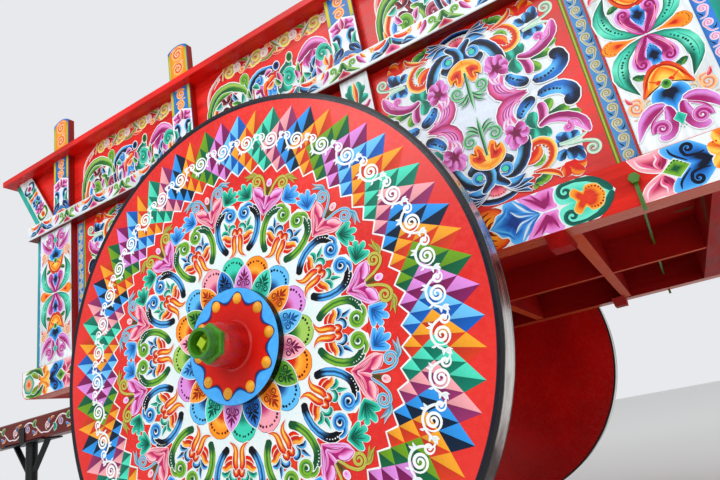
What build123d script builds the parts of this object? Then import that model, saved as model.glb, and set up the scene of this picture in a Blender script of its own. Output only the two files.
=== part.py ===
from build123d import *
import os

# A very large painted ox cart of the two-wheeled solid-disc kind, parked on a steel stand under its pole.
# Frame: +X forward along the pole, +Y to the cart's left, +Z up, floor at Z = 0, in millimetres.

# Wheels
WHEEL_R = 1250.0
TREAD_W = 142.0
TYRE_T = 14.0
WHEEL_GAP = 227.0

# Hub, measured outward from the wheel's outer face
SPINDLE_R = 45.0
RUNNING_FIT = 0.08
BARREL_R = 110.0
BARREL_BACK = 80.0
SHOULDER_OUT = 145.0
SHOULDER_R = 97.0
BROW_OUT = 161.0
BROW_R = 92.0
NOSE_OUT = 175.0
NOSE_R = 81.0
FLANGE_R = 267.0
FLANGE_T = 40.0
FLANGE_FOOT = 8.0
BACK_FLANGE_R = 230.0
BACK_FLANGE_T = 20.0
FACE_PLAY = 1.0

# Domed bolt heads of the flange
BOLTS = 10
BOLT_RING_R = 216.0
BOLT_START = 3.0
BOLT_DOME_R = 34.0
BOLT_DOME_FROM = 38.0

# Axle nut and the axle's ends
NUT_FLATS = 156.0
NUT_HEX_T = 26.0
NUT_CHAMFER = 6.0
NUT_TURN = 20.0
COLLAR_R = 66.0
COLLAR_BORE_R = 52.0
COLLAR_T = 49.0
SQUARE_END = 40.0
SQUARE_END_T = 33.0
AXLE_SIDE = 160.0

# Heights of the body, upward from the axle's centre
BEAM_LOW = 172.0
BEAM_H = 202.0
FLOOR_T = 30.0
LOWER_H = 1011.0
BAND_H = 109.0
UPPER_H = 477.0
RAIL_H = 49.0
STAKE_OVER = 310.0

# Widths of the body, outward from the middle plane or from the panels' faces
PANEL_Y = 1252.0
PANEL_T = 30.0
POST_PROUD = 53.0
BAND_PROUD = 84.0
RAIL_PROUD = 111.0
BEAM_PROUD = 68.0
BEAM_W = 145.0
RAIL_W = 135.0

# Lengths of the body, from the axle or from the box's end
BODY_END = 2343.0
BEAM_HORN = 60.0
BEAM_END_R = 75.0
END_BEAM_D = 280.0
END_BEAM_INSET = 13.0
END_BAND_T = 81.0
END_PANEL_T = 30.0
CORNER_D = 118.0
CORNER_Y = 80.0
CORNER_PROUD = 15.0
CORNER_CUT = 26.0

# Upright boards of each side
STAKE_W = 180.0
STAKE_ARCH = 28.0
STAKE_GAP = 12.0
INNER_STAKE_X = 650.0
CORNER_BOARD_W = 365.0
EDGE_BREAK = 4.0

# Flared ends of the upper tier
FLARE_INSET = 33.0
FLARE_T = 70.0
FLARE_LEAN = 310.0
FLARE_PROUD = 22.0
WING_W = 168.0
WING_PROUD = 38.0
RAIL_OVERHANG = 43.0
END_RAIL_LAP = 50.0

# Underframe
JOIST_W = 60.0
JOIST_RISE = 6.0
JOIST_X = (800.0, 1500.0)
CENTRE_JOIST_W = 40.0
CENTRE_JOIST_IN = 420.0
BOLSTER_W = 180.0
HANGER_X = 1440.0
HANGER_W = 90.0
HANGER_LEN = 320.0
HANGER_HEEL = 64.0
HANGER_TOE = 192.0
HANGER_DROP = 52.0
TIE_ROD_X = 1800.0
TIE_ROD_RISE = 113.0
TIE_ROD_R = 8.0
TIE_ROD_FIT = 0.2
TIE_NUT_FLATS = 40.0
TIE_NUT_T = 18.0
HOOK_W = 16.0
HOOK_T = 9.0
HOOK_DROP = 140.0
HOOK_LIP = 22.0

# Pole
POLE_REACH = 5394.0
POLE_TAIL = -350.0
POLE_W = 200.0
POLE_H = 230.0
POLE_TIP_W = 140.0
POLE_TIP_H = 150.0
POLE_TAPER = 2537.0
POLE_EDGE = 14.0
POLE_FIT = 1.0
YOKE_PIN_R = 20.0
YOKE_PIN_BACK = 220.0

# Stand under the pole
STAND_AHEAD = 2107.0
STAND_BASE = 560.0
STAND_BASE_T = 14.0
STAND_BASE_R = 30.0
STAND_POST_R = 57.0
SADDLE_L = 700.0
SADDLE_LIP = 4.0
SADDLE_T = 14.0
CHEEK_T = 12.0
CHEEK_L = 90.0
CHEEK_H = 150.0
BRACE_T = 12.0
BRACE_W = 60.0
BRACE_REACH = 290.0

# A length that passes right through any piece it cuts
THROUGH = 8000.0

# Heights over the axle's centre that follow from the sizes above
BEAM_TOP = BEAM_LOW + BEAM_H
FLOOR_TOP = BEAM_TOP + FLOOR_T
BAND_LOW = BEAM_TOP + LOWER_H
BAND_TOP = BAND_LOW + BAND_H
RAIL_LOW = BAND_TOP + UPPER_H
RAIL_TOP = RAIL_LOW + RAIL_H
STAKE_TOP = RAIL_TOP + STAKE_OVER
JOIST_LOW = BEAM_LOW + JOIST_RISE
TIE_ROD_Z = BEAM_LOW + TIE_ROD_RISE
POLE_LOW = AXLE_SIDE / 2
POLE_TOP = POLE_LOW + POLE_H

# Places across the cart
PANEL_BACK_Y = PANEL_Y - PANEL_T
POST_FACE_Y = PANEL_Y + POST_PROUD
BEAM_FACE_Y = PANEL_Y + BEAM_PROUD
BEAM_BACK_Y = BEAM_FACE_Y - BEAM_W
RAIL_FACE_Y = PANEL_Y + RAIL_PROUD
RAIL_BACK_Y = RAIL_FACE_Y - RAIL_W
BAND_FACE_Y = PANEL_Y + BAND_PROUD
CORNER_FACE_Y = PANEL_Y + CORNER_PROUD
CORNER_BACK_Y = CORNER_FACE_Y - CORNER_Y
WHEEL_FACE_Y = RAIL_FACE_Y + WHEEL_GAP + TREAD_W
AXLE_SHOULDER_Y = WHEEL_FACE_Y - TREAD_W - BARREL_BACK - FACE_PLAY
NUT_START = NOSE_OUT + FACE_PLAY
COLLAR_START = NUT_START + NUT_HEX_T

# Places along the cart, from the axle
BEAM_END = BODY_END + BEAM_HORN
END_BEAM_OUT = BODY_END - END_BEAM_INSET
END_BEAM_IN = END_BEAM_OUT - END_BEAM_D
END_BAND_IN = BODY_END - END_BAND_T
END_PANEL_OUT = END_BAND_IN + END_PANEL_T
CORNER_X = BODY_END - CORNER_D
CORNER_BOARD_IN = CORNER_X - CORNER_BOARD_W
FLARE_FOOT = BODY_END - FLARE_INSET - FLARE_T
FLARE_HEAD = FLARE_FOOT + FLARE_LEAN
STAKE_X = (INNER_STAKE_X, FLARE_FOOT - WING_W - STAKE_GAP - STAKE_W / 2)
RAIL_END = FLARE_HEAD + FLARE_T + RAIL_OVERHANG
END_RAIL_IN = FLARE_HEAD - END_RAIL_LAP
POLE_TIP = BODY_END + POLE_REACH
POLE_TAPER_START = POLE_TIP - POLE_TAPER
STAND_X = BODY_END + STAND_AHEAD

# The axle's place in the frame: the whole cart is centred on the origin along X
AXLE_Z = WHEEL_R
AXLE_X = -(POLE_TIP - RAIL_END) / 2
SIDES = (("left", 1), ("right", -1))
ENDS = (1, -1)


def save(piece, label):
    piece.part.label = label
    export_step(piece.part, "parts/" + label + ".step")


def board(x, y, z, mode=Mode.ADD):
    # A sawn board between two places along the cart, two across it and two above the axle.
    (x0, x1), (y0, y1), (z0, z1) = sorted(x), sorted(y), sorted(z)
    with Locations((AXLE_X + (x0 + x1) / 2, (y0 + y1) / 2, AXLE_Z + (z0 + z1) / 2)):
        Box(x1 - x0, y1 - y0, z1 - z0, mode=mode)


def bore_tie_rods():
    # Holes right across the cart for the two tie rods.
    for end in ENDS:
        with Locations(Location((AXLE_X + end * TIE_ROD_X, 0, AXLE_Z + TIE_ROD_Z), (90, 0, 0))):
            Cylinder(TIE_ROD_R + TIE_ROD_FIT, THROUGH, mode=Mode.SUBTRACT)


def hub_plane(sign):
    # Sketch plane through the axle: local X outward from the wheel's outer face, local Y up.
    return Plane(origin=(AXLE_X, sign * WHEEL_FACE_Y, AXLE_Z), x_dir=(0, sign, 0), z_dir=(sign, 0, 0))


def out_plane(sign, out):
    # Plane square to the axle, a distance outward from the wheel's outer face.
    return Plane(origin=(AXLE_X, sign * (WHEEL_FACE_Y + out), AXLE_Z), x_dir=(1, 0, 0), z_dir=(0, sign, 0))


def axle_line(sign):
    return Axis((AXLE_X, sign * WHEEL_FACE_Y, AXLE_Z), (0, sign, 0))


def break_fronts(piece, sign):
    # Breaks the upright edges on the outer faces of a side's two boards.
    faces = piece.faces().sort_by(Axis.Y)
    fronts = faces[-2:] if sign > 0 else faces[:2]
    chamfer(fronts.edges().filter_by(Axis.Z), EDGE_BREAK)


os.makedirs("parts", exist_ok=True)

# Wheels: wooden disc, steel tyre, bolted flange with domed bolt heads and a hub with a tapered nose
for side, sign in SIDES:
    with BuildPart() as disc:
        with BuildSketch(out_plane(sign, 0)):
            Circle(WHEEL_R - TYRE_T)
            Circle(BARREL_R, mode=Mode.SUBTRACT)
        extrude(amount=-TREAD_W)
    save(disc, "wheel_disc_" + side)

    with BuildPart() as tyre:
        with BuildSketch(out_plane(sign, 0)):
            Circle(WHEEL_R)
            Circle(WHEEL_R - TYRE_T, mode=Mode.SUBTRACT)
        extrude(amount=-TREAD_W)
    save(tyre, "tyre_" + side)

    with BuildPart() as flange:
        with BuildSketch(out_plane(sign, 0)):
            Circle(FLANGE_R)
            Circle(BARREL_R, mode=Mode.SUBTRACT)
        extrude(amount=FLANGE_T)
        with BuildSketch(hub_plane(sign)):
            with BuildLine():
                Polyline(
                    (FLANGE_T, BARREL_R),
                    (FLANGE_T, BARREL_R + FLANGE_FOOT),
                    (FLANGE_T + FLANGE_FOOT, BARREL_R),
                    (FLANGE_T, BARREL_R),
                )
            make_face()
        revolve(axis=axle_line(sign))
    save(flange, "hub_flange_" + side)

    with BuildPart(out_plane(sign, FLANGE_T)) as bolts:
        with PolarLocations(BOLT_RING_R, BOLTS, start_angle=sign * BOLT_START):
            Sphere(BOLT_DOME_R, arc_size1=BOLT_DOME_FROM, align=(Align.CENTER, Align.CENTER, Align.MIN))
    save(bolts, "flange_bolts_" + side)

    with BuildPart() as hub:
        with BuildSketch(hub_plane(sign)):
            with BuildLine():
                Polyline(
                    (-TREAD_W - BARREL_BACK, SPINDLE_R + RUNNING_FIT),
                    (-TREAD_W - BARREL_BACK, BARREL_R),
                    (-TREAD_W - BACK_FLANGE_T, BARREL_R),
                    (-TREAD_W - BACK_FLANGE_T, BACK_FLANGE_R),
                    (-TREAD_W, BACK_FLANGE_R),
                    (-TREAD_W, BARREL_R),
                    (FLANGE_T + FLANGE_FOOT, BARREL_R),
                    (SHOULDER_OUT, SHOULDER_R),
                    (BROW_OUT, BROW_R),
                    (NOSE_OUT, NOSE_R),
                    (NOSE_OUT, SPINDLE_R + RUNNING_FIT),
                    (-TREAD_W - BARREL_BACK, SPINDLE_R + RUNNING_FIT),
                )
            make_face()
        revolve(axis=axle_line(sign))
    save(hub, "hub_" + side)

# Axle: a square beam with turned spindles and square ends set on their corners
with BuildPart() as axle:
    board((-AXLE_SIDE / 2, AXLE_SIDE / 2), (-AXLE_SHOULDER_Y, AXLE_SHOULDER_Y), (-AXLE_SIDE / 2, AXLE_SIDE / 2))
    for side, sign in SIDES:
        with BuildSketch(out_plane(sign, AXLE_SHOULDER_Y - WHEEL_FACE_Y)):
            Circle(SPINDLE_R)
        extrude(amount=WHEEL_FACE_Y + COLLAR_START - AXLE_SHOULDER_Y)
        with BuildSketch(out_plane(sign, COLLAR_START)):
            Rectangle(SQUARE_END, SQUARE_END, rotation=45)
        extrude(amount=SQUARE_END_T)
save(axle, "axle")

# Axle nuts: a thin hexagon with a long hollow collar
for side, sign in SIDES:
    with BuildPart() as nut:
        with BuildSketch(out_plane(sign, NUT_START)):
            RegularPolygon(NUT_FLATS / 2, 6, major_radius=False, rotation=sign * NUT_TURN)
        extrude(amount=NUT_HEX_T)
        hex_rim = nut.faces().sort_by(Axis.Y)[-1 if sign > 0 else 0]
        chamfer(hex_rim.edges(), NUT_CHAMFER)
        with BuildSketch(out_plane(sign, COLLAR_START)):
            Circle(COLLAR_R)
            Circle(COLLAR_BORE_R, mode=Mode.SUBTRACT)
        extrude(amount=COLLAR_T)
        with BuildSketch(out_plane(sign, NUT_START)):
            Circle(SPINDLE_R)
        extrude(amount=NUT_HEX_T, mode=Mode.SUBTRACT)
    save(nut, "axle_nut_" + side)

with BuildPart() as bolsters:
    for sign in ENDS:
        inner = sign * (POLE_W / 2 + POLE_FIT)
        board((-BOLSTER_W / 2, BOLSTER_W / 2), (inner, sign * BEAM_FACE_Y), (AXLE_SIDE / 2, BEAM_LOW))
save(bolsters, "bolsters")

# Underframe: side beams with rounded ends, end beams, joists, hangers and tie rods
for side, sign in SIDES:
    with BuildPart() as beam:
        board((-BEAM_END, BEAM_END), (sign * BEAM_BACK_Y, sign * BEAM_FACE_Y), (BEAM_LOW, BEAM_TOP))
        corners = beam.edges().filter_by(Axis.Y).group_by(Axis.Z)[0]
        fillet(corners, BEAM_END_R)
        bore_tie_rods()
    save(beam, "side_beam_" + side)

with BuildPart() as end_beams:
    for end in ENDS:
        board((end * END_BEAM_IN, end * END_BEAM_OUT), (-BEAM_BACK_Y, BEAM_BACK_Y), (BEAM_LOW, BEAM_TOP))
    with Locations((AXLE_X + END_BEAM_OUT, 0, AXLE_Z + POLE_TOP + POLE_FIT - POLE_H)):
        Box(END_BEAM_OUT, POLE_W + 2 * POLE_FIT, 2 * POLE_H, mode=Mode.SUBTRACT)
save(end_beams, "end_beams")

with BuildPart() as joists:
    for x in JOIST_X:
        for sign in ENDS:
            rear_in = sign * CENTRE_JOIST_W / 2
            board((-x - JOIST_W / 2, -x + JOIST_W / 2), (rear_in, sign * BEAM_BACK_Y), (JOIST_LOW, BEAM_TOP))
        board((x - JOIST_W / 2, x + JOIST_W / 2), (-BEAM_BACK_Y, BEAM_BACK_Y), (JOIST_LOW, BEAM_TOP))
        with Locations((AXLE_X + x, 0, AXLE_Z + POLE_TOP + POLE_FIT - POLE_H)):
            Box(2 * JOIST_W, POLE_W + 2 * POLE_FIT, 2 * POLE_H, mode=Mode.SUBTRACT)
save(joists, "cross_joists")

with BuildPart() as centre_joist:
    half = CENTRE_JOIST_W / 2
    board((-END_BEAM_IN, -CENTRE_JOIST_IN), (-half, half), (JOIST_LOW, BEAM_TOP))
    bore_tie_rods()
save(centre_joist, "centre_joist")

with BuildPart() as hangers:
    for sign in ENDS:
        for end in ENDS:
            near = (AXLE_X + end * HANGER_X, sign * BEAM_FACE_Y, AXLE_Z + BEAM_LOW)
            with BuildSketch(Plane(origin=near, x_dir=(0, -sign, 0), z_dir=(-sign, 0, 0))):
                Polygon(
                    (0, 0), (HANGER_LEN, 0), (HANGER_TOE, -HANGER_DROP), (HANGER_HEEL, -HANGER_DROP),
                    align=None,
                )
            extrude(amount=HANGER_W / 2, both=True)
save(hangers, "hangers")

with BuildPart() as tie_rods:
    for end in ENDS:
        with Locations(Location((AXLE_X + end * TIE_ROD_X, 0, AXLE_Z + TIE_ROD_Z), (90, 0, 0))):
            Cylinder(TIE_ROD_R, 2 * (BEAM_FACE_Y + HOOK_T + TIE_NUT_T))
        for sign in ENDS:
            hook_y = sign * BEAM_FACE_Y
            along = (end * TIE_ROD_X - HOOK_W / 2, end * TIE_ROD_X + HOOK_W / 2)
            low = TIE_ROD_Z - HOOK_DROP
            board(along, (hook_y, hook_y + sign * HOOK_T), (low, TIE_ROD_Z + TIE_NUT_FLATS / 2))
            board(along, (hook_y, hook_y + sign * HOOK_LIP), (low, low + HOOK_T))
            nut_place = (AXLE_X + end * TIE_ROD_X, hook_y + sign * HOOK_T, AXLE_Z + TIE_ROD_Z)
            with BuildSketch(Plane(origin=nut_place, x_dir=(1, 0, 0), z_dir=(0, sign, 0))):
                RegularPolygon(TIE_NUT_FLATS / 2, 6, major_radius=False)
            extrude(amount=TIE_NUT_T)
save(tie_rods, "tie_rods")

with BuildPart() as floor:
    board((-END_BAND_IN, END_BAND_IN), (-PANEL_BACK_Y, PANEL_BACK_Y), (BEAM_TOP, FLOOR_TOP))
    for sign in ENDS:
        for end in ENDS:
            board(
                (end * CORNER_X, end * BEAM_END), (sign * CORNER_BACK_Y, sign * BEAM_FACE_Y),
                (BEAM_LOW, BAND_LOW), mode=Mode.SUBTRACT,
            )
save(floor, "floor")

# Lower tier: side and end panels, posts, corner boards and corner posts
for side, sign in SIDES:
    with BuildPart() as panel:
        board((-CORNER_X, CORNER_X), (sign * PANEL_BACK_Y, sign * PANEL_Y), (BEAM_TOP, BAND_LOW))
    save(panel, "side_panel_" + side)

    with BuildPart() as posts:
        for end in ENDS:
            middle = end * INNER_STAKE_X
            board(
                (middle - STAKE_W / 2, middle + STAKE_W / 2),
                (sign * PANEL_Y, sign * POST_FACE_Y),
                (BEAM_TOP, BAND_LOW),
            )
        break_fronts(posts, sign)
    save(posts, "posts_" + side)

    with BuildPart() as corner_boards:
        for end in ENDS:
            board(
                (end * CORNER_BOARD_IN, end * CORNER_X),
                (sign * PANEL_Y, sign * POST_FACE_Y),
                (BEAM_TOP, BAND_LOW),
            )
        break_fronts(corner_boards, sign)
    save(corner_boards, "corner_boards_" + side)

with BuildPart() as corner_posts:
    for sign in ENDS:
        for end in ENDS:
            board(
                (end * CORNER_X, end * BODY_END),
                (sign * CORNER_BACK_Y, sign * CORNER_FACE_Y),
                (BEAM_TOP, BAND_LOW),
            )
    uprights = corner_posts.edges().filter_by(Axis.Z)
    outer_edges = uprights.filter_by(
        lambda e: abs(e.center().Y) > PANEL_Y and abs(e.center().X - AXLE_X) > CORNER_X + CORNER_CUT
    )
    chamfer(outer_edges, CORNER_CUT)
save(corner_posts, "corner_posts")

with BuildPart() as end_panels:
    for end in ENDS:
        board((end * END_BAND_IN, end * END_PANEL_OUT), (-CORNER_BACK_Y, CORNER_BACK_Y), (BEAM_TOP, BAND_LOW))
save(end_panels, "end_panels")

# Middle band round the body
for side, sign in SIDES:
    with BuildPart() as band:
        board((-BODY_END, BODY_END), (sign * PANEL_BACK_Y, sign * BAND_FACE_Y), (BAND_LOW, BAND_TOP))
        chamfer(band.edges().filter_by(Axis.X), EDGE_BREAK)
    save(band, "side_band_" + side)

with BuildPart() as end_bands:
    for end in ENDS:
        board((end * END_BAND_IN, end * BODY_END), (-PANEL_BACK_Y, PANEL_BACK_Y), (BAND_LOW, BAND_TOP))
save(end_bands, "end_bands")

# Upper tier: side panels with slanted ends, flared end panels, stakes and slanted wing boards
for side, sign in SIDES:
    side_plane = Plane(origin=(AXLE_X, sign * PANEL_Y, AXLE_Z), x_dir=(1, 0, 0), z_dir=(0, -1, 0))
    with BuildPart() as upper:
        with BuildSketch(side_plane):
            Polygon(
                (-FLARE_FOOT, BAND_TOP), (FLARE_FOOT, BAND_TOP), (FLARE_HEAD, RAIL_LOW), (-FLARE_HEAD, RAIL_LOW),
                align=None,
            )
        extrude(amount=sign * PANEL_T)
    save(upper, "upper_panel_" + side)

    with BuildPart() as wings:
        for end in ENDS:
            with BuildSketch(side_plane):
                Polygon(
                    (end * (FLARE_FOOT - WING_W), BAND_TOP),
                    (end * FLARE_FOOT, BAND_TOP),
                    (end * FLARE_HEAD, RAIL_LOW),
                    (end * (FLARE_HEAD - WING_W), RAIL_LOW),
                    align=None,
                )
            extrude(amount=-sign * WING_PROUD)
    save(wings, "wing_boards_" + side)

    with BuildPart() as stakes:
        for middle in [end * x for end in ENDS for x in STAKE_X]:
            with BuildSketch(side_plane):
                with BuildLine():
                    half = STAKE_W / 2
                    shoulder = STAKE_TOP - STAKE_ARCH
                    Polyline(
                        (middle - half, shoulder), (middle - half, BAND_TOP),
                        (middle + half, BAND_TOP), (middle + half, shoulder),
                    )
                    ThreePointArc(
                        (middle + half, shoulder), (middle, STAKE_TOP), (middle - half, shoulder)
                    )
                make_face()
            extrude(amount=-sign * POST_PROUD)
    save(stakes, "stakes_" + side)

    with BuildPart() as rail:
        board((-RAIL_END, RAIL_END), (sign * RAIL_BACK_Y, sign * RAIL_FACE_Y), (RAIL_LOW, RAIL_TOP))
        chamfer(rail.edges().filter_by(Axis.X), EDGE_BREAK)
        slot_y = sign * (PANEL_Y + POST_PROUD / 2)
        with Locations(*[
            (AXLE_X + end * x, slot_y, AXLE_Z + RAIL_LOW) for end in ENDS for x in STAKE_X
        ]):
            Box(STAKE_W, POST_PROUD, THROUGH, mode=Mode.SUBTRACT)
    save(rail, "top_rail_" + side)

with BuildPart() as upper_ends:
    for end in ENDS:
        with BuildSketch(Plane(origin=(AXLE_X, 0, AXLE_Z), x_dir=(1, 0, 0), z_dir=(0, -1, 0))):
            Polygon(
                (end * FLARE_FOOT, BAND_TOP), (end * (FLARE_FOOT + FLARE_T), BAND_TOP),
                (end * (FLARE_HEAD + FLARE_T), RAIL_LOW), (end * FLARE_HEAD, RAIL_LOW),
                align=None,
            )
        extrude(amount=PANEL_Y + FLARE_PROUD, both=True)
save(upper_ends, "upper_end_panels")

with BuildPart() as end_rails:
    for end in ENDS:
        board((end * END_RAIL_IN, end * RAIL_END), (-RAIL_BACK_Y, RAIL_BACK_Y), (RAIL_LOW, RAIL_TOP))
save(end_rails, "end_rails")

# Pole: a squared timber that tapers towards the yoke pin's hole at its tip
with BuildPart() as pole:
    pole_mid = AXLE_Z + POLE_LOW + POLE_H / 2
    tip_mid = AXLE_Z + POLE_LOW + POLE_TIP_H / 2
    with BuildSketch(Plane(origin=(AXLE_X + POLE_TAIL, 0, pole_mid), x_dir=(0, 1, 0), z_dir=(1, 0, 0))) as tail:
        Rectangle(POLE_W, POLE_H)
        chamfer(tail.vertices(), POLE_EDGE)
    extrude(amount=POLE_TAPER_START - POLE_TAIL)
    root_plane = Plane(origin=(AXLE_X + POLE_TAPER_START, 0, pole_mid), x_dir=(0, 1, 0), z_dir=(1, 0, 0))
    with BuildSketch(root_plane) as taper_root:
        Rectangle(POLE_W, POLE_H)
        chamfer(taper_root.vertices(), POLE_EDGE)
    with BuildSketch(Plane(origin=(AXLE_X + POLE_TIP, 0, tip_mid), x_dir=(0, 1, 0), z_dir=(1, 0, 0))) as tip:
        Rectangle(POLE_TIP_W, POLE_TIP_H)
        chamfer(tip.vertices(), POLE_EDGE)
    loft()
    bore_tie_rods()
    with Locations((AXLE_X + POLE_TIP - YOKE_PIN_BACK, 0, tip_mid)):
        Cylinder(YOKE_PIN_R, THROUGH, mode=Mode.SUBTRACT)
save(pole, "pole")

# Stand: foot plate, pipe, knee braces and a saddle that cradles the pole
STAND_AT = AXLE_X + STAND_X
SADDLE_TOP = AXLE_Z + POLE_LOW
SADDLE_LOW = SADDLE_TOP - SADDLE_T
CHEEK_Y = POLE_W / 2 + POLE_FIT + CHEEK_T / 2
with BuildPart() as foot:
    with BuildSketch(Plane.XY):
        with Locations((STAND_AT, 0)):
            RectangleRounded(STAND_BASE, STAND_BASE, STAND_BASE_R)
    extrude(amount=STAND_BASE_T)
save(foot, "stand_foot")

with BuildPart() as pipe:
    with BuildSketch(Plane.XY.offset(STAND_BASE_T)):
        with Locations((STAND_AT, 0)):
            Circle(STAND_POST_R)
    extrude(amount=SADDLE_LOW - STAND_BASE_T)
save(pipe, "stand_pipe")

with BuildPart() as braces:
    for end in ENDS:
        with BuildSketch(Plane(origin=(STAND_AT, 0, SADDLE_LOW), x_dir=(end, 0, 0), z_dir=(0, -end, 0))):
            Polygon(
                (STAND_POST_R, -BRACE_REACH), (BRACE_REACH, 0),
                (BRACE_REACH - 2 * BRACE_T, 0), (STAND_POST_R, -BRACE_REACH + 2 * BRACE_T),
                align=None,
            )
        extrude(amount=BRACE_W / 2, both=True)
save(braces, "stand_braces")

with BuildPart() as saddle:
    with Locations((STAND_AT, 0, SADDLE_LOW + SADDLE_T / 2)):
        Box(SADDLE_L, 2 * (CHEEK_Y + CHEEK_T / 2 + SADDLE_LIP), SADDLE_T)
    for sign in ENDS:
        with Locations((STAND_AT, sign * CHEEK_Y, SADDLE_TOP + CHEEK_H / 2)):
            Box(CHEEK_L, CHEEK_T, CHEEK_H)
save(saddle, "stand_saddle")
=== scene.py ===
import math

import bpy
import numpy as np
from mathutils import Matrix, Vector


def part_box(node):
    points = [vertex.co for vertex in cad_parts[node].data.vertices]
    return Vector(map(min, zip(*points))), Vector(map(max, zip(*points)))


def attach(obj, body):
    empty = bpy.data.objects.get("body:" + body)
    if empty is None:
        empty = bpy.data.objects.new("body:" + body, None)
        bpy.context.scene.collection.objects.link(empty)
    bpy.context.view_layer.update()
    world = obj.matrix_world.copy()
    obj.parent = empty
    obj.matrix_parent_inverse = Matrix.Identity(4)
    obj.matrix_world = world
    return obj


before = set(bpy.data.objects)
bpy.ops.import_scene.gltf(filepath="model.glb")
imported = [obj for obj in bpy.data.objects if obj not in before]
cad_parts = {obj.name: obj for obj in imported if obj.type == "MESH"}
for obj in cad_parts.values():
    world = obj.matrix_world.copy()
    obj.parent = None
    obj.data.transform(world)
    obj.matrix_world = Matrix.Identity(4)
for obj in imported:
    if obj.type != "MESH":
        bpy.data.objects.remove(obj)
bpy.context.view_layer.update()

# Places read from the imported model, in metres
tread_low, tread_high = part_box("tyre_left")
WHEEL_R = (tread_high.x - tread_low.x) / 2
AXLE_X = (tread_high.x + tread_low.x) / 2
AXLE_Z = (tread_high.z + tread_low.z) / 2
WHEEL_FACE = tread_high.y
FLANGE_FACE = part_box("flange_bolts_left")[0].y
PANEL_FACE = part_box("side_panel_left")[1].y
POST_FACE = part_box("posts_left")[1].y
STAKE_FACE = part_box("stakes_left")[1].y
WING_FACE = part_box("wing_boards_left")[1].y
BAND_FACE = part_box("side_band_left")[1].y
BEAM_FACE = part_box("side_beam_left")[1].y
CORNER_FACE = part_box("corner_posts")[1].y
FLARE_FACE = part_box("upper_end_panels")[1].y
SIDES = (("left", 1), ("right", -1))

# The wheel's ornament is laid out in shares of this radius, where the long spikes end.
SPIKE_TIP = 1.1865
BOLTS = 10
BOLT_START = 3.0
# In metres: how far the hub stands out, and where the flange's nose and its painted face end
HUB_REACH = 0.189
NOSE_R, FLANGE_R = 0.120, 0.266
# Heights of the first coat of paint and of each coat on it, and a white outline's share of its stroke
FIRST_FILM = 0.0004
FILM = 0.00006
OUTLINE = 0.17
# Grids that the motifs are drawn on: one unit, as a share of SPIKE_TIP on the wheel, else in millimetres
WHEEL_GRID = 1 / 2600
PANEL_GRID = 1 / 1.3
HEART_GRID = 1 / 1.4
FRIEZE_GRID = 1 / 0.78
BEAM_GRID = 1 / 0.85

# The box's layout, in millimetres: OUT is a distance ahead of and behind the axle, MIDDLE a height above it.
MM = 0.001
UP = (0, 0, 1)
BAY, POST_OUT, STAKE_OUT = 1244, 650, 1970
BEAD_OUT, EDGE_STRIP_OUT, HEART_OUT, CORNER_OUT = 1768, 1817, 2035, 2262
BEAM_MIDDLE, LOWER_MIDDLE, BAND_MIDDLE = 273, 880, 1439.5
STAKE_MIDDLE, FRIEZE_MIDDLE, CROWN_MIDDLE = 1720, 1809, 2182
END_OUT, END_BAND_OUT, END_BEAM_OUT = 2292, 2343, 2330
FLARE_FOOT, FLARE_HEAD, FLARE_T = 2240, 2550, 70
BAND_TOP, RAIL_LOW = 1494, 1971
RISE, RUN = RAIL_LOW - BAND_TOP, FLARE_HEAD - FLARE_FOOT
WING_W = 168
POLE_PAINT, POLE_STRAIGHT, POLE_TAPER = 2400, 5200, 2537
# The same, in metres
POLE_HALF, TIP_HALF = 0.100, 0.070

# Paints, as they look in plain light
WHITE = (0.90, 0.92, 0.92)
AQUA = (0.76, 0.90, 0.90)
NAVY = (0.03, 0.07, 0.16)
BLUE = (0.10, 0.42, 0.76)
SKY = (0.36, 0.72, 0.94)
DEEP_TEAL = (0.02, 0.40, 0.33)
TEAL = (0.22, 0.80, 0.68)
DEEP_GREEN = (0.03, 0.33, 0.17)
GREEN = (0.36, 0.60, 0.16)
LIME = (0.62, 0.78, 0.36)
OLIVE = (0.48, 0.48, 0.08)
YELLOW = (0.97, 0.80, 0.33)
ORANGE = (0.95, 0.56, 0.12)
RUST = (0.80, 0.19, 0.07)
RED = (0.84, 0.07, 0.04)
PINK = (0.94, 0.62, 0.68)
ROSE = (0.86, 0.30, 0.50)
LILAC = (0.85, 0.55, 0.85)
PLUM = (0.56, 0.07, 0.36)
TAN = (0.85, 0.74, 0.60)
BARE_WOOD = (0.55, 0.38, 0.24)
BRICK = (0.86, 0.22, 0.12)
OXBLOOD = (0.60, 0.08, 0.05)
DARK_RUST = (0.72, 0.10, 0.05)
BOARD_WHITE = (0.86, 0.89, 0.90)
LEAF_LIGHT = (0.50, 0.72, 0.22)
LEAF_PALE = (0.52, 0.84, 0.60)
BLUES = (SKY, BLUE, NAVY)
PINKS = (PINK, ROSE, PLUM)
TEALS = (TEAL, (0.08, 0.58, 0.48), DEEP_TEAL)
GREENS = (LIME, GREEN, DEEP_GREEN)
ORANGES = (YELLOW, ORANGE, RUST)
REDS = (ORANGE, RUST, RED)
LEAVES = (LEAF_LIGHT, GREEN, DEEP_GREEN)
PALE_LEAVES = (LEAF_PALE, (0.16, 0.56, 0.34), DEEP_GREEN)
LILACS = (LILAC, (0.86, 0.36, 0.66), PLUM)
MAGENTAS = ((0.93, 0.62, 0.86), (0.80, 0.30, 0.62), PLUM)


def linear(colour):
    c = np.asarray(colour, float)
    return np.where(c <= 0.04045, c / 12.92, ((c + 0.055) / 1.055) ** 2.4)


def shaded(colour, share):
    return tuple(share * c for c in colour)


def blended(a, b, share):
    return tuple((1 - share) * p + share * q for p, q in zip(a, b))


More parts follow.
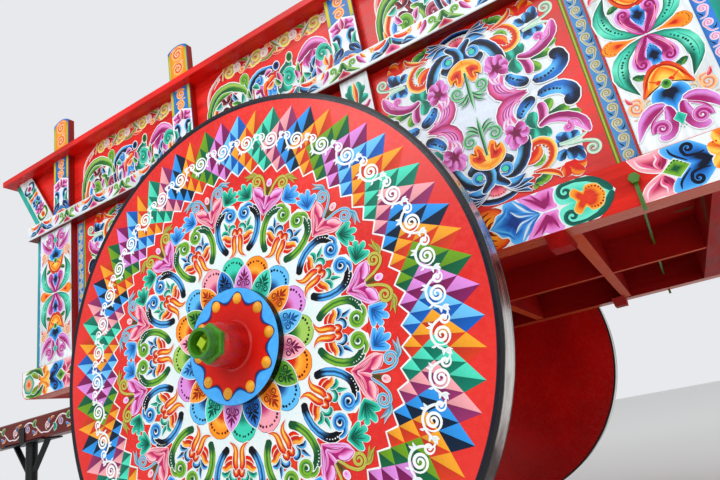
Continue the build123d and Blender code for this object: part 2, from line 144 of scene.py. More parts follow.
class Value:
    """A node's output that can stand in a sum."""

    def __init__(self, finish, socket):
        self.finish, self.socket = finish, socket

    def sum(self, operation, a, b):
        return self.finish.node("ShaderNodeMath", {"operation": operation}, {0: a, 1: b})

    def __add__(self, other):
        return self.sum("ADD", self, other)

    def __sub__(self, other):
        return self.sum("SUBTRACT", self, other)

    def __rsub__(self, other):
        return self.sum("SUBTRACT", other, self)

    def __mul__(self, other):
        return self.sum("MULTIPLY", self, other)

    def __pow__(self, other):
        return self.sum("POWER", self, other)


class Finish:
    """One material. Each node comes from node(), and surface() sets the shader."""

    def __init__(self, name):
        self.material = bpy.data.materials.new(name)
        self.material.use_nodes = True
        self.tree = self.material.node_tree
        self.shader = self.tree.nodes["Principled BSDF"]
        self.place = self.node("ShaderNodeTexCoord", {}, {}, "Object")

    def node(self, kind, settings, sockets, output=0):
        made = self.tree.nodes.new(kind)
        for name, value in settings.items():
            setattr(made, name, value)
        for key, value in sockets.items():
            self.feed(made.inputs[key], value)
        return Value(self, made.outputs[output])

    def feed(self, socket, value):
        if isinstance(value, Value):
            self.tree.links.new(value.socket, socket)
        elif socket.type == "RGBA":
            socket.default_value = (*linear(value), 1)
        else:
            socket.default_value = value

    def stretched(self, scale):
        return self.node("ShaderNodeMapping", {}, {"Vector": self.place, "Scale": scale})

    def noise(self, scale, detail=3.0, place=None, roughness=0.55):
        sockets = {"Vector": place or self.place, "Scale": scale, "Detail": detail, "Roughness": roughness}
        return self.node("ShaderNodeTexNoise", {}, sockets, "Fac")

    def spread(self, value, low, high, to_low=0.0, to_high=1.0):
        sockets = {"Value": value, "From Min": low, "From Max": high, "To Min": to_low, "To Max": to_high}
        return self.node("ShaderNodeMapRange", {"interpolation_type": "SMOOTHSTEP"}, sockets)

    def blend(self, share, a, b, how="MIX"):
        settings = {"data_type": "RGBA", "blend_type": how}
        return self.node("ShaderNodeMix", settings, {0: share, 6: a, 7: b}, 2)

    def relief(self, height, distance, strength):
        return self.node("ShaderNodeBump", {}, {"Height": height, "Distance": distance, "Strength": strength})

    def along(self, axis):
        return self.node("ShaderNodeSeparateXYZ", {}, {0: self.place}, axis)

    def size_of(self, value):
        return self.node("ShaderNodeMath", {"operation": "ABSOLUTE"}, {0: value})

    def from_axle(self):
        return ((self.along("X") - AXLE_X) ** 2.0 + (self.along("Z") - AXLE_Z) ** 2.0) ** 0.5

    def off_middle(self):
        return self.size_of(self.along("Y"))

    def surface(self, **sockets):
        for name, value in sockets.items():
            self.feed(self.shader.inputs[name.replace("_", " ")], value)
        return self.material


def enamel_paint(name, colour, grain, gloss=0.24, wear=0.0, sides=None, face=0.0, shine=0.3, under=None):
    # Gloss enamel brushed along the grain of a board, a little uneven in tone, worn to the wood on request.
    # With sides, only the outer face, which lies at face from the middle plane, has the main colour.
    # under is the colour of what lies below a height, and that height.
    f = Finish(name)
    along = f.stretched(grain)
    streaks = f.noise(26.0, 4.0, along)
    clouds = f.noise(2.3, 3.0)
    dark = shaded(colour, 0.88)
    light = tuple(min(1.0, c * 1.06 + 0.015) for c in colour)
    share = f.spread(streaks * 0.5 + clouds * 0.5, 0.36, 0.66)
    tone = f.blend(share, dark, light)
    if sides:
        front = f.spread(f.off_middle(), face - 0.0062, face - 0.0052)
        plain = f.blend(share, shaded(sides, 0.86), sides)
        if under:
            plain = f.blend(f.spread(f.along("Z"), under[1], under[1] + 0.0008), under[0], plain)
        tone = f.blend(front, plain, tone)
    rough = f.spread(streaks, 0.3, 0.75, gloss, gloss + 0.14)
    if wear:
        scuffs = f.noise(9.0, 6.0, along, 0.7) * 0.6 + f.noise(3.1, 4.0) * 0.4
        bare = f.spread(scuffs, 0.60 - wear, 0.66 - wear)
        grainy = f.blend(f.noise(60.0, 5.0, along), shaded(BARE_WOOD, 0.55), BARE_WOOD)
        tone = f.blend(bare, tone, grainy)
        rough = rough + bare * 0.4
    height = streaks * 0.7 + f.noise(240.0, 2.0) * 0.3
    return f.surface(Base_Color=tone, Roughness=rough, Normal=f.relief(height, 0.0008, 0.18),
                     Specular_IOR_Level=shine)


def ornament_paint():
    # The painter's enamels: colour from the painted film, with brush streaks and a soft gloss.
    f = Finish("ornament_paint")
    colour = f.node("ShaderNodeVertexColor", {"layer_name": "paint"}, {}, "Color")
    streaks = f.noise(90.0, 3.0)
    shade = f.blend(f.spread(streaks, 0.3, 0.7, 0.0, 0.07), colour, (0.35, 0.33, 0.36), "MULTIPLY")
    rough = f.spread(f.noise(30.0), 0.3, 0.7, 0.30, 0.42)
    return f.surface(Base_Color=shade, Roughness=rough, Normal=f.relief(streaks, 0.0004, 0.12),
                     Specular_IOR_Level=0.16)


def wheel_ground():
    # The disc's coral red enamel, with a dark rim where the tyre begins; its inner face is plain red.
    f = Finish("wheel_disc_paint")
    radius = f.from_axle()
    clouds = f.noise(1.6, 3.0)
    fine = f.noise(38.0, 3.0)
    face = f.blend(f.spread(clouds * 0.8 + fine * 0.2, 0.35, 0.65), (0.81, 0.13, 0.11), (0.88, 0.19, 0.16))
    back = f.blend(f.spread(clouds, 0.35, 0.65), (0.68, 0.02, 0.015), (0.80, 0.04, 0.03))
    front = f.spread(f.off_middle(), WHEEL_FACE - 0.010, WHEEL_FACE - 0.005)
    red = f.blend(front, back, face)
    rim = f.spread(radius, WHEEL_R - 0.031, WHEEL_R - 0.027) * front
    tone = f.blend(rim, red, (0.03, 0.05, 0.12))
    rough = f.spread(fine, 0.3, 0.7, 0.20, 0.32)
    return f.surface(Base_Color=tone, Roughness=rough, Normal=f.relief(clouds, 0.0006, 0.2),
                     Specular_IOR_Level=0.3)


def tyre_steel():
    # Steel worn bright by the road, dark at the edges, with streaks that run round it, and dark patches
    # painted in as a reflection.
    f = Finish("tyre_steel")
    width = tread_high.y - tread_low.y
    off = f.size_of(f.off_middle() - (WHEEL_FACE - width / 2))
    streaks = f.noise(1.0, 6.0, f.stretched((1.5, 160.0, 1.5)), 0.7)
    patches = f.noise(6.0, 5.0)
    edge = f.spread(off + (patches - 0.5) * 0.03, width * 0.38, width * 0.47)
    worn = f.blend(f.spread(streaks, 0.3, 0.58), (0.62, 0.60, 0.57), (1.0, 0.99, 0.97))
    # The dark grey patches are a painted reflection of dark surroundings, not marks on the steel.
    steel_and_painted_reflection = f.blend(f.spread(f.noise(2.2, 4.0), 0.50, 0.62), worn, (0.20, 0.19, 0.19))
    tone = f.blend(edge, steel_and_painted_reflection, (0.05, 0.05, 0.06))
    rough = f.spread(streaks, 0.25, 0.8, 0.14, 0.34) + edge * 0.25
    return f.surface(Base_Color=tone, Metallic=1.0 - edge * 0.7, Roughness=rough,
                     Normal=f.relief(streaks, 0.0006, 0.4))


def flange_paint():
    # Light blue face, black rim and red nose of the bolted flange.
    f = Finish("flange_paint")
    radius = f.from_axle()
    fine = f.noise(34.0, 4.0)
    blue = f.blend(fine, (0.18, 0.58, 0.90), (0.32, 0.70, 0.96))
    red = f.blend(fine, (0.62, 0.05, 0.03), (0.80, 0.09, 0.05))
    tone = f.blend(f.spread(radius, NOSE_R - 0.0005, NOSE_R + 0.0005), red, blue)
    tone = f.blend(f.spread(radius, FLANGE_R - 0.0005, FLANGE_R + 0.0005), tone, (0.015, 0.018, 0.03))
    rough = f.spread(fine, 0.3, 0.7, 0.18, 0.30)
    return f.surface(Base_Color=tone, Roughness=rough, Normal=f.relief(fine, 0.0005, 0.2),
                     Specular_IOR_Level=0.35)


def gloss_metal(name, colour, gloss=0.22, end=None):
    # Thick gloss paint over iron, with runs and small dents. end colours what stands out past the hub.
    f = Finish(name)
    clouds = f.noise(14.0, 5.0)
    fine = f.noise(95.0, 3.0)
    tone = f.blend(f.spread(clouds, 0.3, 0.7), shaded(colour, 0.82), colour)
    if end:
        past = f.spread(f.off_middle(), WHEEL_FACE + HUB_REACH - 0.001, WHEEL_FACE + HUB_REACH + 0.001)
        tone = f.blend(past, tone, end)
    rough = f.spread(clouds * 0.5 + fine * 0.5, 0.3, 0.7, gloss, gloss + 0.16)
    return f.surface(Base_Color=tone, Roughness=rough, Normal=f.relief(clouds + fine * 0.3, 0.0010, 0.25),
                     Specular_IOR_Level=0.4)


ALONG, UPRIGHT, ACROSS = (0.12, 1.0, 1.0), (1.0, 1.0, 0.12), (1.0, 0.12, 1.0)
red_rail = enamel_paint("red_rail_paint", (0.83, 0.06, 0.03), ALONG)
red_panel = enamel_paint("red_panel_paint", (0.84, 0.10, 0.06), ALONG)
dark_red = enamel_paint("underframe_paint", (0.64, 0.035, 0.025), ACROSS, 0.5, shine=0.08)
beam_end = enamel_paint("end_beam_paint", (0.62, 0.045, 0.03), ACROSS, 0.5, 0.02, shine=0.08)
joist = enamel_paint("joist_paint", (0.66, 0.05, 0.03), ACROSS, 0.5, shine=0.08, sides=(0.64, 0.05, 0.03),
                     face=9.0, under=((0.78, 0.30, 0.15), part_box("centre_joist")[0].z + 0.0004))
SIDE_RED = (0.62, 0.07, 0.04)
post_white = enamel_paint("post_paint", BOARD_WHITE, UPRIGHT, sides=SIDE_RED, face=POST_FACE)
band_white = enamel_paint("band_paint", BOARD_WHITE, ALONG, sides=(0.44, 0.05, 0.03), face=BAND_FACE)
wing_white = enamel_paint("wing_paint", BOARD_WHITE, UPRIGHT, sides=SIDE_RED, face=WING_FACE)
end_band_white = enamel_paint("end_band_paint", (0.80, 0.10, 0.06), ACROSS)
beam_red = enamel_paint("beam_paint", (0.80, 0.12, 0.07), ALONG, sides=(0.60, 0.04, 0.03), face=BEAM_FACE,
                        shine=0.12, under=((0.74, 0.30, 0.16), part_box("side_beam_left")[0].z + 0.0004))
blue_stake = enamel_paint("blue_stake_paint", (0.12, 0.42, 0.70), UPRIGHT, sides=SIDE_RED, face=STAKE_FACE)
turquoise = enamel_paint("turquoise_paint", (0.08, 0.62, 0.56), UPRIGHT)
flare_paint = enamel_paint("flare_paint", (0.10, 0.66, 0.60), UPRIGHT, sides=(0.80, 0.08, 0.05),
                           face=FLARE_FACE)
pole_brown = enamel_paint("pole_paint", (0.40, 0.10, 0.06), ALONG)
floor_boards = enamel_paint("floor_paint", (0.62, 0.04, 0.03), ALONG, 0.5, 0.01, shine=0.08)
ornament = ornament_paint()
disc_red = wheel_ground()
steel_tyre = tyre_steel()
flange = flange_paint()
hub_red = gloss_metal("hub_red_paint", (0.76, 0.06, 0.04))
nut_green = gloss_metal("nut_green_paint", (0.26, 0.55, 0.10))
axle_red = gloss_metal("axle_red_paint", (0.40, 0.03, 0.02), 0.3, (0.60, 0.73, 0.10))
rod_green = gloss_metal("tie_rod_paint", (0.24, 0.46, 0.10), 0.3)
stand_black = gloss_metal("stand_paint", (0.03, 0.035, 0.045), 0.35)
bolt_yellow = gloss_metal("bolt_yellow_paint", (0.97, 0.66, 0.08))

NODE_FINISH = {
    "axle": axle_red, "axle_nut": nut_green, "bolsters": dark_red, "side_beam": beam_red,
    "end_beams": beam_end, "cross_joists": joist, "centre_joist": joist, "hangers": dark_red,
    "tie_rods": rod_green, "floor": floor_boards, "side_panel": red_panel, "posts": post_white,
    "corner_boards": post_white, "corner_posts": turquoise, "end_panels": red_panel,
    "side_band": band_white, "end_bands": end_band_white, "upper_panel": red_panel,
    "wing_boards": wing_white, "stakes": blue_stake, "upper_end_panels": flare_paint,
    "top_rail": red_rail, "end_rails": red_rail, "pole": pole_brown, "stand_foot": stand_black,
    "stand_pipe": stand_black, "stand_braces": stand_black, "stand_saddle": stand_black,
    "wheel_disc": disc_red, "tyre": steel_tyre, "hub_flange": flange, "hub": hub_red,
    "flange_bolts": bolt_yellow,
}
for name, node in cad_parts.items():
    kind = name.removesuffix("_left").removesuffix("_right")
    node.data.materials.clear()
    node.data.materials.append(NODE_FINISH[kind])


# Painting tools. A Ground is one flat painted face; a Brush lays motifs on it, in one or several places.

def smooth_line(points, steps=6):
    # A smooth line through points, its course at each set by the points on both sides.
    p = np.asarray(points, float)
    p = np.vstack([2 * p[0] - p[1], p, 2 * p[-1] - p[-2]])
    t = np.linspace(0, 1, steps, endpoint=False)[:, None]
    parts = []
    for a, b, c, d in zip(p[:-3], p[1:-2], p[2:-1], p[3:]):
        parts.append(0.5 * (2 * b + (c - a) * t + (2 * a - 5 * b + 4 * c - d) * t**2
                            + (3 * b - a - 3 * c + d) * t**3))
    return np.vstack([*parts, p[-2:-1]])


def spiral(centre, r_out, r_in, start, turns, steps=18):
    # Points that wind inward from angle start (degrees); turns below 0 run clockwise.
    t = np.linspace(0, 1, int(abs(turns) * steps) + 2)
    a = np.radians(start) + 2 * math.pi * turns * t
    r = r_out + (r_in - r_out) * t**0.85
    return np.stack([centre[0] + r * np.cos(a), centre[1] + r * np.sin(a)], 1)


def evenly(count, step):
    # Places a step apart, as many to one side of 0 as to the other.
    return [(k - (count - 1) / 2) * step for k in range(count)]


def oval(width, height, centre, count):
    a = np.linspace(0, 2 * math.pi, count, endpoint=False)
    return np.stack([centre[0] + width * np.cos(a), centre[1] + height * np.sin(a)], 1)


def rectangle(left, low, right, high):
    return [(left, low), (right, low), (right, high), (left, high)]


def polar(radius, degrees):
    a = np.radians(degrees)
    return np.stack([radius * np.cos(a), radius * np.sin(a)], -1)


def mirrored(points):
    # A closed outline from its right half, which runs from the top down.
    p = np.asarray(points, float)
    return np.vstack([p, (p * (-1, 1))[::-1]])


def mirrored_rows(points):
    # A closed outline from its upper half, which runs from right to left.
    p = np.asarray(points, float)
    return np.vstack([p, (p * (1, -1))[::-1][1:]])


def swell(t, start, end, peak):
    # Width along a stroke: from start through 1 at the peak to end.
    up = start + (1 - start) * np.sin(np.clip(t / peak, 0, 1) * math.pi / 2)
    down = end + (1 - end) * np.cos(np.clip((t - peak) / (1 - peak), 0, 1) * math.pi / 2)
    return np.where(t < peak, up, down)


def rounded(line, half, near, far):
    # The same stroke with its chosen ends closed in half circles.
    way = np.concatenate([[0.0], np.cumsum(np.linalg.norm(np.diff(line, axis=0), axis=1))])
    total = way[-1]
    share = np.array([0, 0.06, 0.22, 0.5, 1.0])
    extra = [total * np.ones(1)]
    if near:
        extra.append(share * half[0])
    if far:
        extra.append(total - share * half[-1])
    at = np.unique(np.clip(np.concatenate([way, *extra]), 0, total))
    at = at[np.concatenate([[True], np.diff(at) > 0.03 * half.max()])]
    at[-1] = total
    wide = np.interp(at, way, half)
    if near:
        wide = wide * np.sqrt(1 - (1 - np.clip(at / half[0], 0, 1)) ** 2)
    if far:
        wide = wide * np.sqrt(1 - (1 - np.clip((total - at) / half[-1], 0, 1)) ** 2)
    return np.stack([np.interp(at, way, line[:, k]) for k in (0, 1)], 1), wide, at / total


def sideways(line):
    # Unit directions across a line, to its left.
    way = np.gradient(line, axis=0)
    way /= np.maximum(np.linalg.norm(way, axis=1, keepdims=True), 1e-9)
    return np.stack([-way[:, 1], way[:, 0]], 1)


def curvature(line):
    # Of a line at each of its points, above 0 where it turns left.
    way = np.gradient(line, axis=0)
    turn = np.gradient(way, axis=0)
    speed = np.maximum(np.linalg.norm(way, axis=1), 1e-9)
    return (way[:, 0] * turn[:, 1] - way[:, 1] * turn[:, 0]) / speed**3


def thinned(line, half):
    # Which points of a stroke to keep: those that its two edges need.
    reach = sideways(line) * half[:, None]
    form = np.hstack([line + reach, line - reach])
    slack = 0.075 * half.max() + 0.0012 * np.linalg.norm(np.diff(line, axis=0), axis=1).sum()
    keep = [0]
    while keep[-1] < len(line) - 1:
        first = keep[-1]
        last = first + 1
        for far in range(first + 2, min(first + 9, len(line))):
            share = np.linspace(0, 1, far - first + 1)[:, None]
            off = form[first:far + 1] - (form[first] * (1 - share) + form[far] * share)
            if np.linalg.norm(off, axis=1).max() > slack:
                break
            last = far
        keep.append(last)
    return keep


def tints(stops, t):
    s = np.atleast_2d(np.asarray(stops, float))
    if len(s) == 1:
        return np.repeat(s, len(t), 0)
    at = np.linspace(0, 1, len(s))
    return np.stack([np.interp(t, at, s[:, k]) for k in range(3)], 1)


# Ends and peak of common strokes, for swell()
BLADE, NEEDLE = (0.3, 0.2, 0.5), (0.3, 0.1, 0.5)


class Ground:
    """One flat painted face. Each lick of paint on it lies a hair above the last."""

    def __init__(self, name, body, origin, right, up):
        self.name, self.body = name, body
        self.origin, self.right, self.up = (np.array(v, float) for v in (origin, right, up))
        self.out = np.cross(self.right, self.up)
        self.points, self.colours, self.faces, self.flats, self.count = [], [], [], [], 0

    def lay(self, flat, colours, triangles, level):
        a, b, c = (flat[triangles[:, k]] for k in range(3))
        area = (b - a)[:, 0] * (c - a)[:, 1] - (b - a)[:, 1] * (c - a)[:, 0]
        triangles = np.where(area[:, None] < 0, triangles[:, ::-1], triangles)
        self.points.append(self.origin + flat[:, :1] * self.right + flat[:, 1:] * self.up
                           + self.out * (FIRST_FILM + FILM * level))
        self.colours.append(linear(colours))
        self.faces.append(triangles + self.count)
        self.flats.append(flat)
        self.count += len(flat)

    def brush(self, size):
        return Brush(self, [np.diag([size, size, 1.0])], 0.0)

    def map_places(self):
        # Each lick of paint gets its own place on the map, in rows of falling height.
        spans = [(f.min(0), np.ptp(f, axis=0)) for f in self.flats]
        gap = 0.004
        total = sum((s[0] + gap) * (s[1] + gap) for _, s in spans)
        width = 1.08 * math.sqrt(total)
        x = y = row = 0.0
        places = [None] * len(spans)
        for k in sorted(range(len(spans)), key=lambda k: -spans[k][1][1]):
            low, span = spans[k]
            if x + span[0] > width and x > 0:
                x, y, row = 0.0, y + row + gap, 0.0
            places[k] = self.flats[k] - low + (x, y)
            x += span[0] + gap
            row = max(row, span[1])
        side = max(width, y + row) * 1.002
        return np.vstack(places) / side

    def finish(self, slot):
        mesh = bpy.data.meshes.new(self.name)
        points, faces = np.vstack(self.points), np.vstack(self.faces)
        mesh.vertices.add(len(points))
        mesh.vertices.foreach_set("co", points.astype(np.float32).ravel())
        mesh.loops.add(faces.size)
        mesh.loops.foreach_set("vertex_index", faces.astype(np.int32).ravel())
        mesh.polygons.add(len(faces))
        mesh.polygons.foreach_set("loop_start", np.arange(0, faces.size, 3, dtype=np.int32))
        mesh.update(calc_edges=True)
        paint = mesh.color_attributes.new("paint", "FLOAT_COLOR", "POINT")
        rgba = np.hstack([np.vstack(self.colours), np.ones((len(points), 1))])
        paint.data.foreach_set("color", rgba.astype(np.float32).ravel())
        places = mesh.uv_layers.new(name="OFBake")
        places.uv.foreach_set("vector", self.map_places()[faces.ravel()].astype(np.float32).ravel())
        mesh.materials.append(ornament)
        piece = bpy.data.objects.new(self.name, mesh)
        bpy.context.scene.collection.objects.link(piece)
        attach(piece, self.body)


class Brush:
    """A brush at one or more places of a Ground, each with its own turn, size and mirroring."""

    weight = 1.0

    def __init__(self, ground, copies, level, wrap=None):
        # level is a number, or the one-item list that this brush shares with its twins.
        self.ground, self.copies, self.wrap = ground, copies, wrap
        self.coats = level if isinstance(level, list) else [level]

    @property
    def level(self):
        return self.coats[0]

    @level.setter
    def level(self, value):
        self.coats[0] = value

    def at(self, x=0.0, y=0.0, turn=0.0, size=1.0, flip=False, level=None):
        c, s, m = math.cos(math.radians(turn)), math.sin(math.radians(turn)), -1 if flip else 1
        local = np.array([[c * size * m, -s * size, x], [s * size * m, c * size, y], [0, 0, 1]])
        start = self.level if level is None else level
        return Brush(self.ground, [copy @ local for copy in self.copies], start, self.wrap)

    def stretched(self, wide, tall):
        return Brush(self.ground, [copy @ np.diag([wide, tall, 1.0]) for copy in self.copies], self.coats,
                     self.wrap)

    def within(self, low, high):
        # The same brush, kept inside a rectangle of the board.
        return Brush(self.ground, self.copies, self.coats, lambda flat: np.clip(flat, low, high))

    def both(self, upright=True):
        # The same strokes again, mirrored left to right, or top to bottom.
        mirror = np.diag([-1.0, 1.0, 1.0] if upright else [1.0, -1.0, 1.0])
        return Brush(self.ground, self.copies + [copy @ mirror for copy in self.copies], self.coats,
                     self.wrap)

    def lay(self, flat, colours, triangles, rise=0.0):
        for k, copy in enumerate(self.copies):
            place = flat @ copy[:2, :2].T + copy[:2, 2]
            if self.wrap:
                place = self.wrap(place)
            self.ground.lay(place, colours, triangles, self.level + 0.2 * (k % 4) + rise)
        self.level += 1

    def strip(self, line, across, bend, half, columns, t):
        places = np.array([c[0] for c in columns], float)
        reach = half[:, None] * places
        folds = reach * bend[:, None] > 0.9
        reach = np.where(folds, 0.9 / np.where(folds, bend[:, None], 1.0), reach)
        flat = line[:, None, :] + across[:, None, :] * reach[:, :, None]
        colours = np.stack([tints(c[1], t) for c in columns], 1)
        n, m = len(t), len(columns)
        index = np.arange(n * m).reshape(n, m)
        a, b, c, d = index[:-1, :-1], index[1:, :-1], index[1:, 1:], index[:-1, 1:]
        triangles = np.vstack([np.stack([a, b, c], -1).reshape(-1, 3),
                               np.stack([a, c, d], -1).reshape(-1, 3)])
        self.lay(flat.reshape(-1, 2), colours.reshape(-1, 3), triangles, np.repeat(0.7 * t, m)[:, None])

    def ribbon(self, line, half, columns, edge, edge_w=None):
        # One stroke along line. columns are (place across from -1 to 1, colour or colours along it).
        line = np.asarray(line, float)
        t = np.linspace(0, 1, len(line))
        half = self.weight * np.broadcast_to(np.asarray(half, float), t.shape)
        near, far = half[0] > 0.25 * half.max(), half[-1] > 0.25 * half.max()
        if (near or far) and len(line) > 3:
            line, half, t = rounded(line, half, near, far)
        across, bend, keep = sideways(line), curvature(line), thinned(line, half)
        line, half, t, across, bend = (values[keep] for values in (line, half, t, across, bend))
        if edge is not None:
            if edge_w is None:
                edge_w = OUTLINE * half.max()
            ends = line.copy()
            for k, sign in ((0, -1), (-1, 1)):
                ends[k] += sign * edge_w * 0.8 * np.array([across[k, 1], -across[k, 0]])
            self.strip(ends, across, bend, half + edge_w, [(-1, edge), (1, edge)], t)
        self.strip(line, across, bend, half, columns, t)

    def patch(self, outline, rings, centre=None, edge=None, edge_w=0.0):
        # A closed shape round a centre. rings are (share of the way out, colour), from the outside in.
        outline = np.asarray(outline, float)
        centre = outline.mean(0) if centre is None else np.asarray(centre, float)
        if edge is not None:
            reach = np.linalg.norm(outline - centre, axis=1, keepdims=True)
            grown = centre + (outline - centre) * (1 + edge_w / np.maximum(reach, 1e-6))
            self.patch(grown, [(1, edge)], centre)
        k = len(outline)
        flat = np.vstack([centre + (outline - centre) * share for share, _ in rings] + [centre[None]])
        colours = np.vstack([tints(c, np.linspace(0, 1, k)) for _, c in rings]
                            + [tints(rings[-1][1], np.array([0.5]))])
        here = np.arange(k)
        after = (here + 1) % k
        triangles = []
        for r in range(len(rings) - 1):
            a, b = r * k + here, r * k + after
            triangles += [np.stack([a, b, b + k], 1), np.stack([a, b + k, a + k], 1)]
        last = (len(rings) - 1) * k
        triangles.append(np.stack([last + here, last + after, np.full(k, len(flat) - 1)], 1))
        self.lay(flat, colours, np.vstack(triangles))

    # Strokes, each with its points, its half width and its three shades of paint. ends go to swell().

    def stroke(self, line, half, ends, columns, edge=WHITE, edge_w=None):
        self.ribbon(line, half * swell(np.linspace(0, 1, len(line)), *ends), columns, edge, edge_w)

    def scroll(self, points, half, paint, ends=(0.55, 0.45, 0.4)):
        # A thick round-ended stroke: light on its left edge, dark at both ends.
        light, middle, dark = paint
        core, body, rim = (dark, dark, dark, dark), (dark, middle, middle, dark), (dark, light, light, middle)
        columns = [(-1, body), (-0.6, core), (0.1, core), (0.65, rim), (1, rim)]
        self.stroke(smooth_line(points), half, ends, columns)

    def bean(self, points, half, paint):
        # A thick round-ended stroke that runs from light to dark.
        light, middle, dark = paint
        core, rim = (dark, middle, middle, dark, dark), (middle, light, light, middle, dark)
        columns = [(-1, core), (-0.3, core), (0.45, rim), (1, rim)]
        self.stroke(smooth_line(points), half, (0.55, 0.6, 0.6), columns)

    def leaf(self, points, half, paint, ends=(0.25, 0.04, 0.42), edge=WHITE, edge_w=None):
        # A pointed stroke: dark root and right edge, light left edge and tip.
        light, middle, dark = paint
        heart, glow, rim = (dark, dark, middle), (middle, light, light), (dark, middle, light)
        columns = [(-1, heart), (-0.1, heart), (0.5, glow), (1, rim)]
        self.stroke(smooth_line(points), half, ends, columns, edge, edge_w)

    def line(self, points, half, colour, ends=(0.5, 0.5, 0.5), steps=5):
        line = smooth_line(points, steps) if len(points) < 12 else np.asarray(points)
        self.stroke(line, half, ends, [(-1, colour), (1, colour)], None)

    def snail(self, centre, radius, start, turns, half, paint, lead=(), edge=WHITE, edge_w=None):
        # A curl: an optional lead-in line that winds into a spiral, dark on its inner side.
        light, middle, dark = paint
        inside = math.copysign(1, turns)
        coil = spiral(centre, radius, radius * 0.12, start, turns)
        line = np.vstack([smooth_line([*lead, coil[0]], 5)[:-1], coil]) if len(lead) else coil
        columns = [(-inside, middle), (-0.5 * inside, light), (0.2 * inside, middle), (inside, dark)]
        self.stroke(line, half, (0.3, 0.35, 0.45), columns, edge, edge_w)

    def shape(self, points, paint, centre, edge):
        # A closed smooth form: light at its edge, dark in its heart.
        light, middle, dark = paint
        outline = smooth_line([*points, points[0]], 4)[:-1]
        self.patch(outline, [(1, light), (0.72, light), (0.42, middle), (0.16, dark)], centre, edge, 3)

    def fan(self, base, tips, half, paint, bend=0.16):
        # Leaf fingers that spread from one base, within one white outline.
        base = np.asarray(base, float)
        fingers = []
        for k, tip in enumerate(tips):
            way = np.asarray(tip, float) - base
            side = np.array([-way[1], way[0]]) * bend * (1 if k < len(tips) / 2 else -1)
            fingers.append([base, base + way * 0.5 + side * 0.7, base + way])
        for line in fingers:
            self.line(line, half + OUTLINE * half, WHITE, (0.4, 0.52, 0.66), 6)
            self.level -= 0.7
        self.level += 1
        for line in fingers:
            self.leaf(line, half, paint, (0.3, 0.42, 0.66), None)

    def dots(self, points, radius, colour, count):
        # A row of dots, largest in its middle.
        line = smooth_line(points)
        at = np.linspace(0, len(line) - 1, count).round().astype(int)
        for place, share in zip(line[at], 0.55 + 0.45 * np.sin(np.linspace(0.4, 2.7, count))):
            self.patch(oval(radius * share, radius * share, place, 8), [(1, colour)], place)
            self.level -= 0.8
        self.level += 1


# The wheel's ornament, in shares of the radius where the long spikes end

SPIKES = 64
SPIKE_START = 200.4
SPIKE_ROWS = (1.0, 0.935, 0.878, 0.828, 0.785, 0.7475, 0.716)
SPIKE_SHIFT = (0, 1, 2, 1, 0)
SPIKE_PAINTS = (
    ((0.94, 0.64, 0.67), (0.56, 0.18, 0.40)), ((0.18, 0.58, 0.90), (0.04, 0.13, 0.23)),
    ((0.95, 0.64, 0.16), (0.83, 0.23, 0.12)), ((0.42, 0.62, 0.12), (0.06, 0.38, 0.24)),
    ((0.86, 0.54, 0.86), (0.50, 0.11, 0.36)), ((0.42, 0.76, 0.96), (0.07, 0.36, 0.72)),
    ((0.95, 0.64, 0.16), (0.83, 0.23, 0.12)), ((0.30, 0.86, 0.73), (0.04, 0.47, 0.38)),
)


def spike_band(brush):
    # Long kites in rows of light and dark halves, with a white zigzag along their feet.
    pitch = 360 / SPIKES
    flat, colours = [], []
    for i in range(SPIKES):
        light, dark = SPIKE_PAINTS[i % len(SPIKE_PAINTS)]
        middle = SPIKE_START - i * pitch
        for row, shift in enumerate(SPIKE_SHIFT):
            a = middle + shift * pitch / 2
            tip, side, foot = SPIKE_ROWS[row:row + 3]
            top, left = polar(tip, a), polar(side, a + pitch / 2)
            low, right = polar(foot, a), polar(side, a - pitch / 2)
            flat += [top, left, low, top, low, right]
            colours += [light, light, shaded(light, 0.86), dark, shaded(dark, 0.8), dark]
    brush.lay(np.array(flat), np.array(colours), np.arange(len(flat)).reshape(-1, 3))
    for i in range(SPIKES):
        middle = SPIKE_START - i * pitch
        foot, low = polar(SPIKE_ROWS[-1] - 0.004, middle), SPIKE_ROWS[-2] - 0.002
        brush.ribbon([polar(low, middle + pitch / 2), foot, polar(low, middle - pitch / 2)], 0.0034,
                     [(-1, WHITE), (1, WHITE)], None)
        brush.level -= 1


def vine_on_spikes(brush):
    # A white scrolling vine round the wheel: large and small spirals on one wavy stem.
    count, middle = 40, 0.853
    length = 2 * math.pi * middle / count

    def round_wheel(flat):
        a = math.radians(SPIKE_START) - flat[:, 0] / SPIKE_TIP / middle
        r = SPIKE_TIP * middle + flat[:, 1]
        return np.stack([r * np.cos(a), r * np.sin(a)], 1)

    units = [np.array([[SPIKE_TIP, 0, i * length * SPIKE_TIP], [0, SPIKE_TIP, 0], [0, 0, 1.0]])
             for i in range(count)]
    ring = Brush(brush.ground, units, brush.level, round_wheel)
    pale = (WHITE, (0.97, 0.98, 0.98), (0.84, 0.88, 0.90))
    ring.line([(-0.012, 0.030), (0.004, 0.020), (0.016, -0.012), (0.040, -0.034), (0.072, -0.034),
               (0.098, -0.014), (0.112, 0.014), (0.124, 0.030)], 0.0050, WHITE)
    ring.snail((0.062, 0.001), 0.035, -50, 2.1, 0.0056, pale, edge=None)
    ring.snail((0.010, 0.013), 0.021, 150, -1.5, 0.0048, pale, edge=None)
    for x, y, turn, size in ((0.108, 0.010, 62, 1.1), (0.104, 0.0, 15, 0.9), (0.112, 0.014, 105, 0.9),
                             (0.030, -0.030, -75, 0.9), (0.026, -0.028, -115, 0.7),
                             (0.094, -0.020, -60, 0.7)):
        ring.at(x, y, turn, size).leaf([(0, 0), (0.012, 0.004), (0.027, 0.0)], 0.0062, pale, edge=None)


